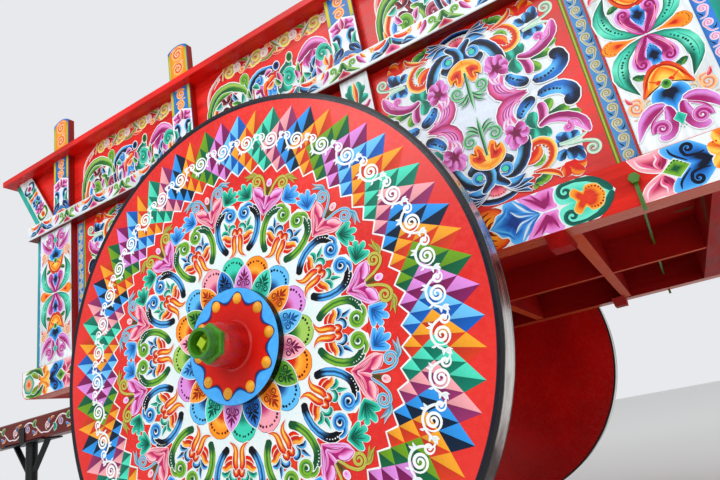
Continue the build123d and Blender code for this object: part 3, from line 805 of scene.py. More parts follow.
def medallion(brush, scroll, tips, sprig):
    # Two C-scrolls with dotted caps and coiled heads, round a little tree of leaves on an orange foot.
    light, middle, dark = scroll
    g = brush.at(size=WHEEL_GRID)
    g.patch(mirrored([(0, 262), (60, 296), (120, 302), (200, 280), (270, 220), (300, 100), (270, -60),
                      (190, -200), (0, -250)]), [(1, WHITE), (0.8, WHITE), (0.4, AQUA)], (0, 0))
    g.patch(mirrored([(0, 156), (32, 100), (58, 66), (36, 40), (16, 10), (0, -12)]),
            [(1, RUST), (0.5, BRICK)])
    g.patch(mirrored([(0, 286), (44, 282), (0, 216)]), [(1, RED), (0.5, BRICK)])
    both = g.both()
    both.patch([(100, 84), (150, 78), (126, 36)], [(1, RUST), (0.5, BRICK)])
    line = smooth_line([(128, -246), (178, -204), (228, -146), (266, -66), (282, 16), (282, 92), (264, 156),
                        (228, 198), (190, 214), (150, 216)])
    t = np.linspace(0, 1, len(line))
    half = 41 * np.interp(t, (0, 0.04, 0.55, 0.72, 0.86, 1), (0.80, 0.98, 0.94, 1.10, 0.96, 0.30))
    even = np.linspace(0, 1, 25)

    def capped(near, far):
        # Shades along the stroke: the caps' at both ends, then near, and far in the middle.
        at = (0, 0.13, 0.17, 0.24, 0.52, 0.62, 0.68, 1)
        shades = np.array([tips, tips, near, far, far, near, tips, tips])
        return np.stack([np.interp(even, at, shades[:, k]) for k in range(3)], 1)

    columns = [(-1, capped(middle, middle)), (-0.55, capped(middle, light)), (-0.1, capped(dark, dark)),
               (0.15, capped(middle, middle)), (0.5, capped(light, light)), (1, capped(middle, dark))]
    both.ribbon(line, half, columns, WHITE, 8)
    for x, y, r in ((222, 214, 8), (245, 199, 7.5), (265, 178, 6.6), (280, 152, 5.8), (289, 124, 5)):
        both.patch(oval(r, r, (x, y), 8), [(1, WHITE)], (x, y))
    coil = np.vstack([smooth_line([(216, 232), (190, 258), (146, 268), (104, 247)], 5)[:-1],
                      spiral((100, 180), 66, 54, 86, 0.9, 24)[:-1], spiral((100, 180), 54, 14, 50, 0.75, 20)])
    columns = [(-1, shaded(light, 0.8)), (-0.6, light), (0.1, middle), (1, dark)]
    both.stroke(coil, 23, (0.5, 0.5, 0.3), columns, WHITE, 8)
    both.patch(oval(19, 19, (100, 180), 12), [(1, blended(dark, tips, 0.5)), (0.5, tips)])
    both.leaf([(112, -50), (134, 14), (158, 70), (196, 122)], 24, sprig, (0.7, 0.1, 0.45), WHITE, 6)
    both.leaf([(112, -46), (112, 14), (88, 48), (52, 52), (32, 26)], 22, sprig, (0.5, 0.5, 0.7), WHITE, 6)
    both.leaf([(118, -46), (146, -10), (184, 4), (222, -22)], 23, sprig, (0.5, 0.4, 0.6), WHITE, 6)
    hot = ((0.97, 0.72, 0.25), (0.92, 0.42, 0.10), (0.74, 0.13, 0.06))
    vein = (0.70, 0.12, 0.05)
    both.leaf([(34, -122), (90, -146), (140, -138), (182, -98)], 28, REDS, (0.9, 0.2, 0.5), WHITE, 6)
    both.leaf([(34, -90), (92, -98), (136, -82), (170, -58), (216, -66)], 35, hot, (0.9, 0.2, 0.6), WHITE, 6)
    both.line([(60, -98), (104, -108), (150, -96), (190, -72)], 4, vein)
    tail = smooth_line([(28, -40), (46, -106), (40, -172), (40, -226), (66, -270), (118, -300)])
    rim = (OXBLOOD, RUST, DARK_RUST)
    columns = [(-1, rim), (-0.45, (RUST, ORANGE, ORANGE, RUST)), (0.0, (RED, YELLOW, YELLOW, RUST)),
               (0.45, (RED, RUST, ORANGE, RED)), (1, rim)]
    both.stroke(tail, 36, (0.75, 0.06, 0.3), columns, WHITE, 7)
    both.line([(28, -110), (22, -180), (30, -238), (60, -280)], 3.5, vein)
    hook = smooth_line([(4, -56), (14, -10), (38, 4), (60, -20), (64, -56)])
    columns = [(-1, ORANGE), (0, RUST), (0.4, DARK_RUST), (1, (0.60, 0.06, 0.04))]
    both.stroke(hook, 21, (0.9, 0.35, 0.4), columns, WHITE, 5)
    g.patch([(0, -70), (12, -106), (9, -150), (0, -182), (-9, -150), (-12, -106)], [(1, WHITE)])


def leaf_pair(brush, paint):
    # Two scalloped leaves on one foot, with veins and notches.
    g = brush.at(size=WHEEL_GRID)
    q = g.both()
    light, middle, dark = paint
    outline = smooth_line([(196, 4), (206, 60), (216, 128), (204, 176), (176, 186), (152, 160), (138, 142),
                           (124, 178), (92, 200), (64, 188), (66, 150), (72, 124), (40, 146), (10, 132),
                           (4, 106), (22, 84), (50, 74), (20, 66), (4, 44), (14, 22), (60, 8), (130, -6)], 3)
    q.patch(outline, [(1, light), (0.8, blended(light, middle, 0.3)), (0.5, middle), (0.15, dark)], (158, 34),
            WHITE, 7)
    for tip, bow in (((186, 152), 6), ((98, 168), -8), ((36, 116), -10), ((34, 44), -6)):
        way = ((158 + tip[0]) / 2, (34 + tip[1]) / 2 + bow)
        q.leaf([(160, 30), way, tip], 9, (middle, dark, shaded(dark, 0.7)), (0.8, 0.05, 0.2), None)
    for notch in ((150, 150), (70, 128), (50, 74)):
        q.line([(158, 34), ((158 + notch[0]) / 2, (34 + notch[1]) / 2 + 3), notch], 4, shaded(dark, 0.75),
               (0.6, 0.3, 0.4))


def tulip(brush, paint, stem_a, stem_b):
    # A heart-shaped tulip: two pale lobes over nested petals, a bud and two coiled tendrils.
    light, middle, dark = paint
    g = brush.at(size=WHEEL_GRID)
    both = g.both()
    stem = np.vstack([smooth_line([(14, 0), (40, 70), (66, 150), (112, 218), (160, 243)], 5)[:-1],
                      spiral((174, 172), 72, 12, 100, -1.7, 18)])
    columns = [(-1, stem_b), (-0.4, stem_a), (0.1, shaded(stem_a, 0.72)), (0.5, stem_a), (1, stem_b)]
    both.stroke(stem, 16, (0.8, 0.5, 0.5), columns, None)
    tail = (stem_b, stem_a, shaded(stem_a, 0.72))
    both.leaf([(196, 244), (250, 254), (306, 228), (372, 214)], 21, tail, (0.6, 0.05, 0.4), None)
    both.leaf([(236, 236), (284, 214), (338, 168)], 17, tail, (0.6, 0.05, 0.4), None)
    heart = [(0, 0), (36, 30), (58, 70), (92, 100), (140, 112), (196, 100), (196, 40), (168, -22), (112, -88),
             (52, -144), (0, -188)]
    g.patch([(-26, 130), (26, 130), (12, 10), (-12, 10)],
            [(1, (0.42, 0.36, 0.16)), (0.5, (0.30, 0.24, 0.12))])
    g.patch(mirrored(heart), [(1, middle), (0.8, dark), (0.3, dark)], (0, -40), WHITE, 7)
    lobe = smooth_line([(194, 84), (146, 64), (96, 46), (52, 4)])
    columns = [(-1, blended(light, WHITE, 0.35)), (-0.2, light), (0.35, middle), (1, dark)]
    both.stroke(lobe, 38, (0.42, 0.5, 0.55), columns, None)
    lip = smooth_line([(196, 88), (178, 16), (122, -48), (54, -110), (2, -178)])
    columns = [(-1, (dark, dark, dark)), (-0.2, (light, light, middle)),
               (0.4, (blended(light, WHITE, 0.4), light, middle)), (1, (light, light, middle))]
    both.stroke(lip, 25, (0.2, 0.2, 0.4), columns, None)
    pale = (blended(light, WHITE, 0.3), light, middle)
    both.leaf([(150, 0), (96, -24), (44, -66), (4, -124)], 20, pale, (0.15, 0.2, 0.5), None)
    both.line([(140, -8), (88, -40), (40, -86), (4, -148)], 4, shaded(dark, 0.85))
    both.line([(176, 4), (120, -60), (60, -118)], 3, shaded(dark, 0.9))
    g.leaf([(0, -118), (0, -60), (0, 2), (0, 30)], 17, pale, (0.2, 0.5, 0.6), None)
    g.patch(oval(30, 40, (0, 168), 14), [(1, blended(light, WHITE, 0.3)), (0.5, light), (0.2, middle)],
            (0, 150), WHITE, 6)


OUTER_PETALS = (TEALS, REDS, BLUES, (LILAC, ROSE, PLUM), GREENS, REDS, BLUES, PINKS)
INNER_PETALS = ((LILAC, PLUM), (TEAL, DEEP_TEAL), (ORANGE, RUST), (SKY, BLUE),
                (PINK, PLUM), (GREEN, DEEP_GREEN), (ORANGE, RUST), (BLUE, NAVY))


def petal_outline(radii, angles):
    return mirrored(smooth_line([polar(r, 90 - a) for r, a in zip(radii, angles)], 3))


def petals(brush):
    # Two rings of petals round the flange: dotted ones behind, filigreed ones in front.
    rim = petal_outline((0.205, 0.25, 0.285, 0.310, 0.330, 0.345, 0.355, 0.3605),
                        (6, 9.6, 11.0, 10.9, 9.6, 7.4, 4.3, 0.4))
    for i, (light, middle, dark) in enumerate(OUTER_PETALS):
        two = around(brush, 87.2 - i * 22.5, 2)
        glow = blended(light, YELLOW, 0.5) if dark is RED else light
        two.patch(rim, [(1, light), (0.80, light), (0.66, glow), (0.50, blended(middle, dark, 0.3)),
                        (0.36, dark), (0.1, shaded(dark, 0.7))], (0, 0.205), shaded(dark, 0.7), 0.0018)
        two.both().dots([polar(0.288, 90 - 9.4), polar(0.312, 90 - 8.9), polar(0.330, 90 - 6.2),
                         polar(0.340, 90 - 0.8)], 0.0056, shaded(dark, 0.5), 7)
    front = petal_outline((0.205, 0.232, 0.258, 0.280, 0.298, 0.313, 0.3225),
                          (7.2, 10.3, 9.4, 7.4, 4.9, 2.3, 0.2))
    for i, (light, dark) in enumerate(INNER_PETALS):
        two = around(brush.at(level=30), 75.75 - i * 22.5, 2)
        two.patch(front, [(1, blended(light, WHITE, 0.15)), (0.75, light), (0.5, shaded(light, 0.9)),
                          (0.2, blended(light, dark, 0.35))], (0, 0.226), WHITE, 0.0036)
        pair = two.both()
        ink = shaded(dark, 0.75)
        pair.line(spiral((0.0205, 0.2480), 0.0165, 0.004, 240, -1.5, 14), 0.0030, ink, (0.6, 0.7, 0.5))
        pair.leaf([(0.001, 0.260), (0.012, 0.266), (0.026, 0.278)], 0.0052, (ink, ink, ink), (0.3, 0.2, 0.6),
                  None)
        pair.leaf([(0.0, 0.272), (0.008, 0.280), (0.0165, 0.293)], 0.0044, (ink, ink, ink), (0.3, 0.2, 0.6),
                  None)
        two.leaf([(0, 0.264), (0, 0.286), (0, 0.311)], 0.0054, (ink, ink, ink), (0.3, 0.05, 0.55), None)
        two.patch(oval(0.0038, 0.0038, (0, 0.254), 8), [(1, ink)])


def around(brush, angle, count):
    # The same brush turned about the wheel's centre: its up points outward at angle, and at equal steps on.
    copies = []
    for k in range(count):
        copies += brush.at(turn=angle - 90 - 360 / count * k).copies
    return Brush(brush.ground, copies, brush.level, brush.wrap)


def inner_wheel(brush):
    # From the flange outward: two rings of petals, twelve medallions on white, leaves and tulips on red.
    a = np.linspace(0, 360, 361)[:-1]
    reach = 0.462 + 0.040 * np.cos(np.radians(12 * (a - 67.8))) ** 3
    brush.patch(polar(reach, a), [(1, WHITE), (0.9, WHITE), (0.42, AQUA)], (0, 0))
    petals(brush.at(level=2))
    scrolls = ((82.8, BLUES, (0.02, 0.03, 0.06), TEALS, TEALS),
               (52.8, LEAVES, (0.06, 0.30, 0.17), BLUES, (SKY, (0.20, 0.56, 0.90), BLUE)))
    for start, scroll, tips, sprig, crown in scrolls:
        six = around(brush.at(level=4), start, 6)
        medallion(six.at(0, 0.473), scroll, tips, sprig)
        leaf_pair(six.at(0, 0.592), crown)
    lilac = ((0.90, 0.66, 0.90), (0.86, 0.42, 0.70), (0.64, 0.10, 0.42))
    salmon = ((0.96, 0.70, 0.74), (0.90, 0.42, 0.54), (0.70, 0.12, 0.36))
    for start, paint, stem_a, stem_b in ((67.6, lilac, (0.82, 0.80, 0.36), OLIVE),
                                         (97.6, salmon, (0.40, 0.76, 0.93), (0.80, 0.74, 0.66))):
        tulip(around(brush.at(level=34), start, 6).at(0, 0.600), paint, stem_a, stem_b)


def wheel_ornament(side, sign):
    ground = Ground("wheel_ornament_" + side, "wheel_" + side, (AXLE_X, sign * WHEEL_FACE, AXLE_Z),
                    (-sign, 0, 0), UP)
    brush = ground.brush(SPIKE_TIP)
    spike_band(brush.at(level=1))
    vine_on_spikes(brush.at(level=12))
    inner_wheel(brush)
    ground.finish("red_painted_wood")


def flange_ornament(side, sign):
    # Red ground of the flange, scalloped round the bolts and shaded blue.
    ground = Ground("flange_ornament_" + side, "wheel_" + side, (AXLE_X, sign * FLANGE_FACE, AXLE_Z),
                    (-sign, 0, 0), UP)
    brush = ground.brush(SPIKE_TIP)
    a = np.linspace(0, 360, 361)[:-1]
    lobes = (0.5 + 0.5 * np.cos(np.radians(BOLTS * (a - BOLT_START)))) ** 1.3
    blue_edge, red_edge = 0.1755 + 0.0350 * lobes, 0.1660 + 0.0405 * lobes
    rows = ((blue_edge, (0.16, 0.50, 0.84)), (0.7 * blue_edge + 0.3 * red_edge, (0.07, 0.30, 0.66)),
            (red_edge, NAVY), (red_edge - 0.0035, (0.62, 0.07, 0.06)),
            (red_edge - 0.0120, (0.80, 0.10, 0.05)), (np.full(len(a), 0.0995), (0.74, 0.07, 0.03)))
    flat = np.vstack([polar(radius, a) for radius, _ in rows])
    colours = np.vstack([np.repeat([colour], len(a), 0) for _, colour in rows])
    k = len(a)
    here = np.arange(k)
    after = (here + 1) % k
    rings = [(r * k + here, r * k + after, r * k + after + k, r * k + here + k) for r in range(len(rows) - 1)]
    brush.lay(flat, colours,
              np.vstack([np.stack(corners, 1) for p, q, m, n in rings for corners in ((p, q, m), (p, m, n))]))
    ground.finish("light_blue_painted_wood")


# The box's ornament. Each motif is drawn on its own grid, and its brush carries the scale to metres.

def scroll_panel(brush):
    # The large panel: a white field in a wreath of scrolls, leaves and flowers, the same in all four corners.
    g = brush.at(size=PANEL_GRID)
    field = np.array([(0, 632), (130, 606), (240, 540), (390, 560), (530, 540), (560, 440), (590, 330),
                      (590, 200), (560, 90), (540, 0)], float)
    g.patch(np.vstack([field, (field * (1, -1))[::-1], -field, (field * (-1, 1))[::-1]]),
            [(1, WHITE), (0.5, (0.84, 0.88, 0.93))], (0, 0))
    q = g.both().both(False)
    q.weight = 1.18
    v = g.both(False)
    v.scroll([(-165, 566), (-100, 612), (0, 632), (100, 612), (165, 566)], 19,
             (BLUE, (0.05, 0.16, 0.32), NAVY))
    v.patch(mirrored([(0, 607), (40, 600), (68, 578), (72, 556), (46, 520), (0, 484)]),
            [(1, PINK), (0.7, (0.94, 0.45, 0.50)), (0.3, (0.72, 0.12, 0.36))], (0, 520), WHITE, 5)
    v.dots([(-58, 572), (-34, 588), (0, 594), (34, 588), (58, 572)], 5.5, (0.55, 0.06, 0.16), 9)
    q.fan((420, 555), [(545, 580), (520, 632), (468, 606), (402, 632)], 30, REDS, 0.12)
    q.fan((462, 470), [(402, 525), (556, 500), (536, 566), (480, 545)], 27, BLUES)
    q.fan((500, 440), [(400, 410), (424, 362), (556, 380), (486, 358)], 27, BLUES)
    q.snail((600, 514), 46, -85, 1.6, 9, ((0.86, 0.94, 0.84), (0.60, 0.80, 0.66), DEEP_TEAL),
            [(430, 430), (500, 448), (570, 455)])
    q.leaf([(430, 418), (500, 428), (560, 420), (612, 400)], 10,
           (WHITE, (0.62, 0.82, 0.70), (0.62, 0.82, 0.70)))
    q.fan((330, 236), [(262, 336), (410, 338), (334, 362)], 35, TEALS)
    q.fan((330, 262), [(286, 180), (346, 150)], 32, TEALS)
    q.fan((398, 212), [(606, 262), (556, 196), (470, 112)], 30, LEAVES, 0.12)
    q.scroll([(352, 262), (388, 216), (402, 160), (394, 108)], 25, MAGENTAS, (0.4, 0.75, 0.6))
    q.leaf([(352, 262), (430, 240), (520, 268), (588, 332), (616, 408)], 32, MAGENTAS, (0.3, 0.3, 0.7))
    q.snail((508, 334), 30, -60, 1.4, 11, LILACS, [(588, 366), (570, 316), (536, 300)])
    q.line([(380, 262), (450, 262), (520, 290), (580, 350), (606, 392)], 4, LILAC, NEEDLE)
    q.bean([(398, 60), (470, 48), (548, 66), (592, 116), (578, 164), (536, 150)], 41, BLUES)
    q.dots([(402, 56), (450, 48), (500, 56), (534, 74)], 9, NAVY, 7)
    q.fan((232, 606), [(246, 632), (336, 566), (292, 612)], 24, LEAVES)
    q.fan((250, 492), [(330, 442), (318, 486)], 24, LEAVES)
    q.leaf([(206, 462), (258, 452), (300, 420), (316, 374)], 30, REDS, (0.4, 0.2, 0.5))
    q.scroll([(240, 536), (306, 532), (362, 496), (388, 440), (378, 384), (330, 352), (280, 362), (264, 398)],
             22, ORANGES, (0.3, 0.6, 0.6))
    q.scroll([(250, 540), (316, 556), (374, 590), (392, 626)], 15, ORANGES, BLADE)
    swoosh = smooth_line([(222, 232), (184, 180), (172, 96), (214, 34), (280, 12), (350, 8)])
    pale = (0.95, 0.70, 0.88)
    columns = [(-1, (ROSE, PLUM, PLUM)), (-0.5, (LILAC, ROSE, PLUM)), (0, (pale, LILAC, PLUM)),
               (0.6, (pale, pale, ROSE)), (1, (ROSE, LILAC, PLUM))]
    q.stroke(swoosh, 46, (0.6, 0.04, 0.35), columns)
    for shift in (-26, -8, 10):
        q.line([(222 + shift, 200), (186 + shift, 130), (206 + shift, 66), (262, 26)], 3.2,
               (0.62, 0.08, 0.36), (0.3, 0.1, 0.4))
    q.snail((280, 64), 24, 200, 1.2, 8, LILACS)
    q.bean([(256, 168), (282, 120), (328, 82), (380, 64)], 33, BLUES)
    q.dots([(262, 158), (284, 128), (318, 98), (338, 86)], 9, NAVY, 6)
    q.dots([(258, 424), (300, 384), (344, 392), (366, 430), (352, 476)], 6, (0.66, 0.08, 0.04), 9)
    column = (SKY, (0.08, 0.36, 0.66), (0.02, 0.05, 0.13))
    q.scroll([(250, 272), (238, 346), (206, 420), (156, 474), (100, 494), (56, 470)], 34, column,
             (0.95, 0.6, 0.3))
    for tip, bend in (((202, 642), 18), ((222, 606), 10), ((232, 566), 0), ((196, 522), -14)):
        q.leaf([(20, 470), (60, 532), (120, 566 + bend), tip], 25, ((0.02, 0.05, 0.13), BLUE, SKY),
               (0.5, 0.05, 0.6), WHITE, 4)
    q.scroll([(150, 412), (98, 376), (44, 386), (12, 434), (18, 488), (50, 524), (90, 552)], 33, column,
             (0.6, 0.4, 0.35))
    q.snail((90, 446), 44, 150, -1.3, 15, BLUES)
    q.patch(oval(23, 21, (86, 446), 16), [(1, (0.16, 0.66, 0.62)), (0.7, TEAL), (0.2, TEAL)], None, NAVY, 3)
    for tip in ((150, 206), (186, 196), (226, 198)):
        q.leaf([(214, 120), ((214 + tip[0]) / 2 - 10, 150), tip], 15, (WHITE, LILAC, ROSE), (0.2, 0.4, 0.7),
               LILAC, 3)
    q.fan((208, 240), [(150, 200), (140, 300), (176, 352), (238, 338), (288, 276), (282, 204)], 31,
          (LILAC, (0.88, 0.46, 0.76), PLUM), 0.08)
    q.patch([(208, 196), (222, 226), (254, 232), (232, 256), (236, 290), (208, 270), (180, 288), (184, 254),
             (164, 228), (194, 226)], [(1, PLUM), (0.5, (0.42, 0.02, 0.24))], (208, 244))
    bell = smooth_line([(0, 416), (38, 406), (82, 384), (114, 344), (118, 300), (104, 260), (86, 282),
                        (70, 238), (42, 226), (20, 258), (0, 300)], 3)
    v.patch(mirrored(bell), [(1, (0.98, 0.66, 0.16)), (0.85, ORANGE), (0.6, ORANGE), (0.3, YELLOW)], (0, 330),
            WHITE, 5)
    hollow = [(16, 350), (60, 352), (98, 322), (92, 296), (70, 300), (50, 250), (28, 284)]
    q.shape(hollow, ((0.86, 0.24, 0.06), (0.80, 0.10, 0.04), (0.62, 0.03, 0.03)), (56, 318), None)
    q.leaf([(2, 398), (40, 388), (78, 364), (100, 338)], 9, (YELLOW, YELLOW, ORANGE), (0.5, 0.1, 0.5), None)
    q.leaf([(70, 250), (62, 280), (60, 306)], 8, ORANGES, (0.5, 0.1, 0.4), None)
    q.snail((84, 186), 48, -95, 1.7, 8, (LEAF_PALE, (0.20, 0.62, 0.36), DEEP_GREEN),
            [(4, 250), (10, 170), (40, 140)])
    q.leaf([(0, 150), (44, 96), (90, 74)], 9, PALE_LEAVES)
    q.leaf([(0, 166), (60, 116), (104, 112)], 9, PALE_LEAVES)
    v.leaf([(0, 318), (0, 170), (0, 96), (0, 26)], 13, PALE_LEAVES, (0.6, 0.05, 0.5))


def heart_board(brush):
    # The narrow corner board: crescents and hearts in its middle, a bell, snails and leaves at both ends.
    g = brush.at(size=HEART_GRID)
    wide = g.both(False)
    q = wide.both()
    side = g.both()
    bud = [(58, 0), (120, 24), (180, 48), (222, 44), (248, 14),
           (248, -14), (222, -44), (180, -48), (120, -24)]
    side.shape(bud, (ORANGE, (0.95, 0.45, 0.10), (0.78, 0.10, 0.05)), (150, 0), (0.80, 0.40, 0.10))
    side.dots([(140, 34), (190, 42), (228, 22), (234, 0), (228, -22), (190, -42), (140, -34)], 4,
              (0.50, 0.12, 0.04), 13)
    q.fan((150, -238), [(80, -256), (104, -272)], 20, (GREEN, DEEP_TEAL, DEEP_GREEN), 0.2)
    crescent = smooth_line([(4, -6), (100, -46), (176, -110), (202, -196), (190, -270), (142, -362)])
    deep = (0.02, 0.30, 0.22)
    mint = (0.44, 0.88, 0.76)
    columns = [(-1, (deep, deep, (0.08, 0.60, 0.48), deep, deep)),
               (-0.4, (deep, TEAL, mint, DEEP_TEAL, deep)), (0.3, (deep, TEAL, mint, TEAL, deep)),
               (1, (deep, DEEP_TEAL, mint, DEEP_TEAL, (0.05, 0.36, 0.20)))]
    q.stroke(crescent, 46, (0.08, 0.03, 0.55), columns)
    q.line([(120, -90), (150, -160), (158, -230)], 2.4, DEEP_TEAL)
    q.line([(150, -70), (196, -130), (214, -200), (206, -262)], 2.0, DEEP_TEAL)
    q.dots([(116, -66), (160, -110), (184, -156), (190, -216)], 7.5, (0.03, 0.24, 0.22), 9)
    drop = mirrored(smooth_line([(0, -62), (38, -96), (66, -136), (56, -166), (34, -176), (28, -214)], 3))
    wide.patch(drop, [(1, SKY), (0.6, BLUE), (0.35, NAVY), (0.1, NAVY)], (0, -150), WHITE, 4)
    wide.dots([(-50, -124), (-24, -104), (0, -84), (24, -104), (50, -124)], 4, NAVY, 9)
    lobe = smooth_line([(0, -2), (50, -44), (98, -98), (126, -160), (112, -208), (74, -228), (38, -212),
                        (30, -180), (44, -150), (30, -100), (0, -56)], 4)
    wine = (0.56, 0.03, 0.34)
    q.patch(lobe, [(1, LILAC), (0.84, LILAC), (0.62, (0.80, 0.32, 0.62)), (0.3, wine)], (56, -120), WHITE, 4)
    q.leaf([(2, -6), (34, -44), (70, -90), (86, -130)], 24, (LILAC, (0.72, 0.14, 0.46), wine),
           (0.3, 0.1, 0.4), None)
    q.snail((74, -184), 30, 20, -1.3, 7, (wine, wine, wine), [(86, -120), (106, -150)], None)
    for shift in (0, 13):
        q.line([(30 + shift, -40), (66 + shift, -84), (92 + shift, -130), (100 + shift * 0.6, -168)], 2.6,
               PINK, (0.2, 0.2, 0.5))
    wide.patch(mirrored(smooth_line([(0, -340), (28, -362), (76, -372), (104, -424), (94, -466), (60, -474),
                                     (36, -500), (0, -538)], 4)),
               [(1, SKY), (0.7, (0.15, 0.55, 0.88)), (0.35, NAVY), (0.1, NAVY)], (0, -400), WHITE, 4)
    q.snail((118, -436), 26, 120, -1.1, 6, ((0.90, 0.82, 0.66), TAN, OLIVE), [(140, -392), (132, -404)])
    bell = smooth_line([(0, -212), (46, -236), (96, -292), (126, -352), (138, -402), (96, -372), (44, -350),
                        (0, -334)], 4)
    # The bell lies on the same coats as the small snails beside it.
    wide.level -= 2
    wide.patch(mirrored(bell), [(1, (0.86, 0.20, 0.06)), (0.86, (0.93, 0.40, 0.10)), (0.6, ORANGE),
                                (0.3, YELLOW)], (0, -330), WHITE, 4)
    fire = ((0.98, 0.62, 0.12), (0.93, 0.40, 0.08), (0.80, 0.14, 0.05))
    q.leaf([(2, -222), (52, -246), (98, -304), (130, -386)], 22,
           (fire[1], (0.84, 0.16, 0.05), (0.66, 0.05, 0.03)), (0.9, 0.05, 0.2), None)
    q.leaf([(4, -236), (40, -262), (74, -306), (96, -356)], 13, (YELLOW, YELLOW, fire[1]), (0.4, 0.05, 0.5),
           None)
    q.snail((36, -334), 17, 200, -1.1, 6, fire[1:] + (RED,), [(84, -296), (62, -314)], None)
    wide.patch(oval(27, 30, (0, -352), 16), [(1, (0.40, 0.68, 0.20)), (0.6, (0.30, 0.58, 0.20)),
                                             (0.3, DEEP_GREEN)], (0, -342), WHITE, 3)
    q.snail((188, -430), 46, -120, 1.6, 11, ((0.98, 0.80, 0.62), (0.95, 0.62, 0.40), RUST),
            [(236, -350), (206, -376), (156, -390)])
    q.leaf([(196, -398), (216, -378), (226, -344)], 12, (PINK, ROSE, (0.82, 0.16, 0.22)))
    q.line([(110, -474), (160, -500), (226, -500)], 5, TAN)
    plume = (LILAC, LILAC, (0.62, 0.10, 0.40))
    q.leaf([(40, -486), (110, -486), (180, -536), (236, -640)], 40, plume, (0.5, 0.05, 0.4))
    q.leaf([(44, -484), (40, -560), (76, -640), (130, -668)], 40, plume, (0.4, 0.4, 0.6))
    q.snail((102, -606), 48, -20, 1.7, 15, (LILAC, (0.70, 0.18, 0.46), PLUM),
            [(60, -500), (120, -540), (146, -580)])
    wide.patch(mirrored([(0, -540), (34, -574), (0, -622)]), [(1, TEAL), (0.3, (0.10, 0.62, 0.54))], None,
               WHITE, 3)
    wide.dots([(-42, -586), (0, -640), (42, -586)], 3.5, (0.16, 0.52, 0.48), 9)


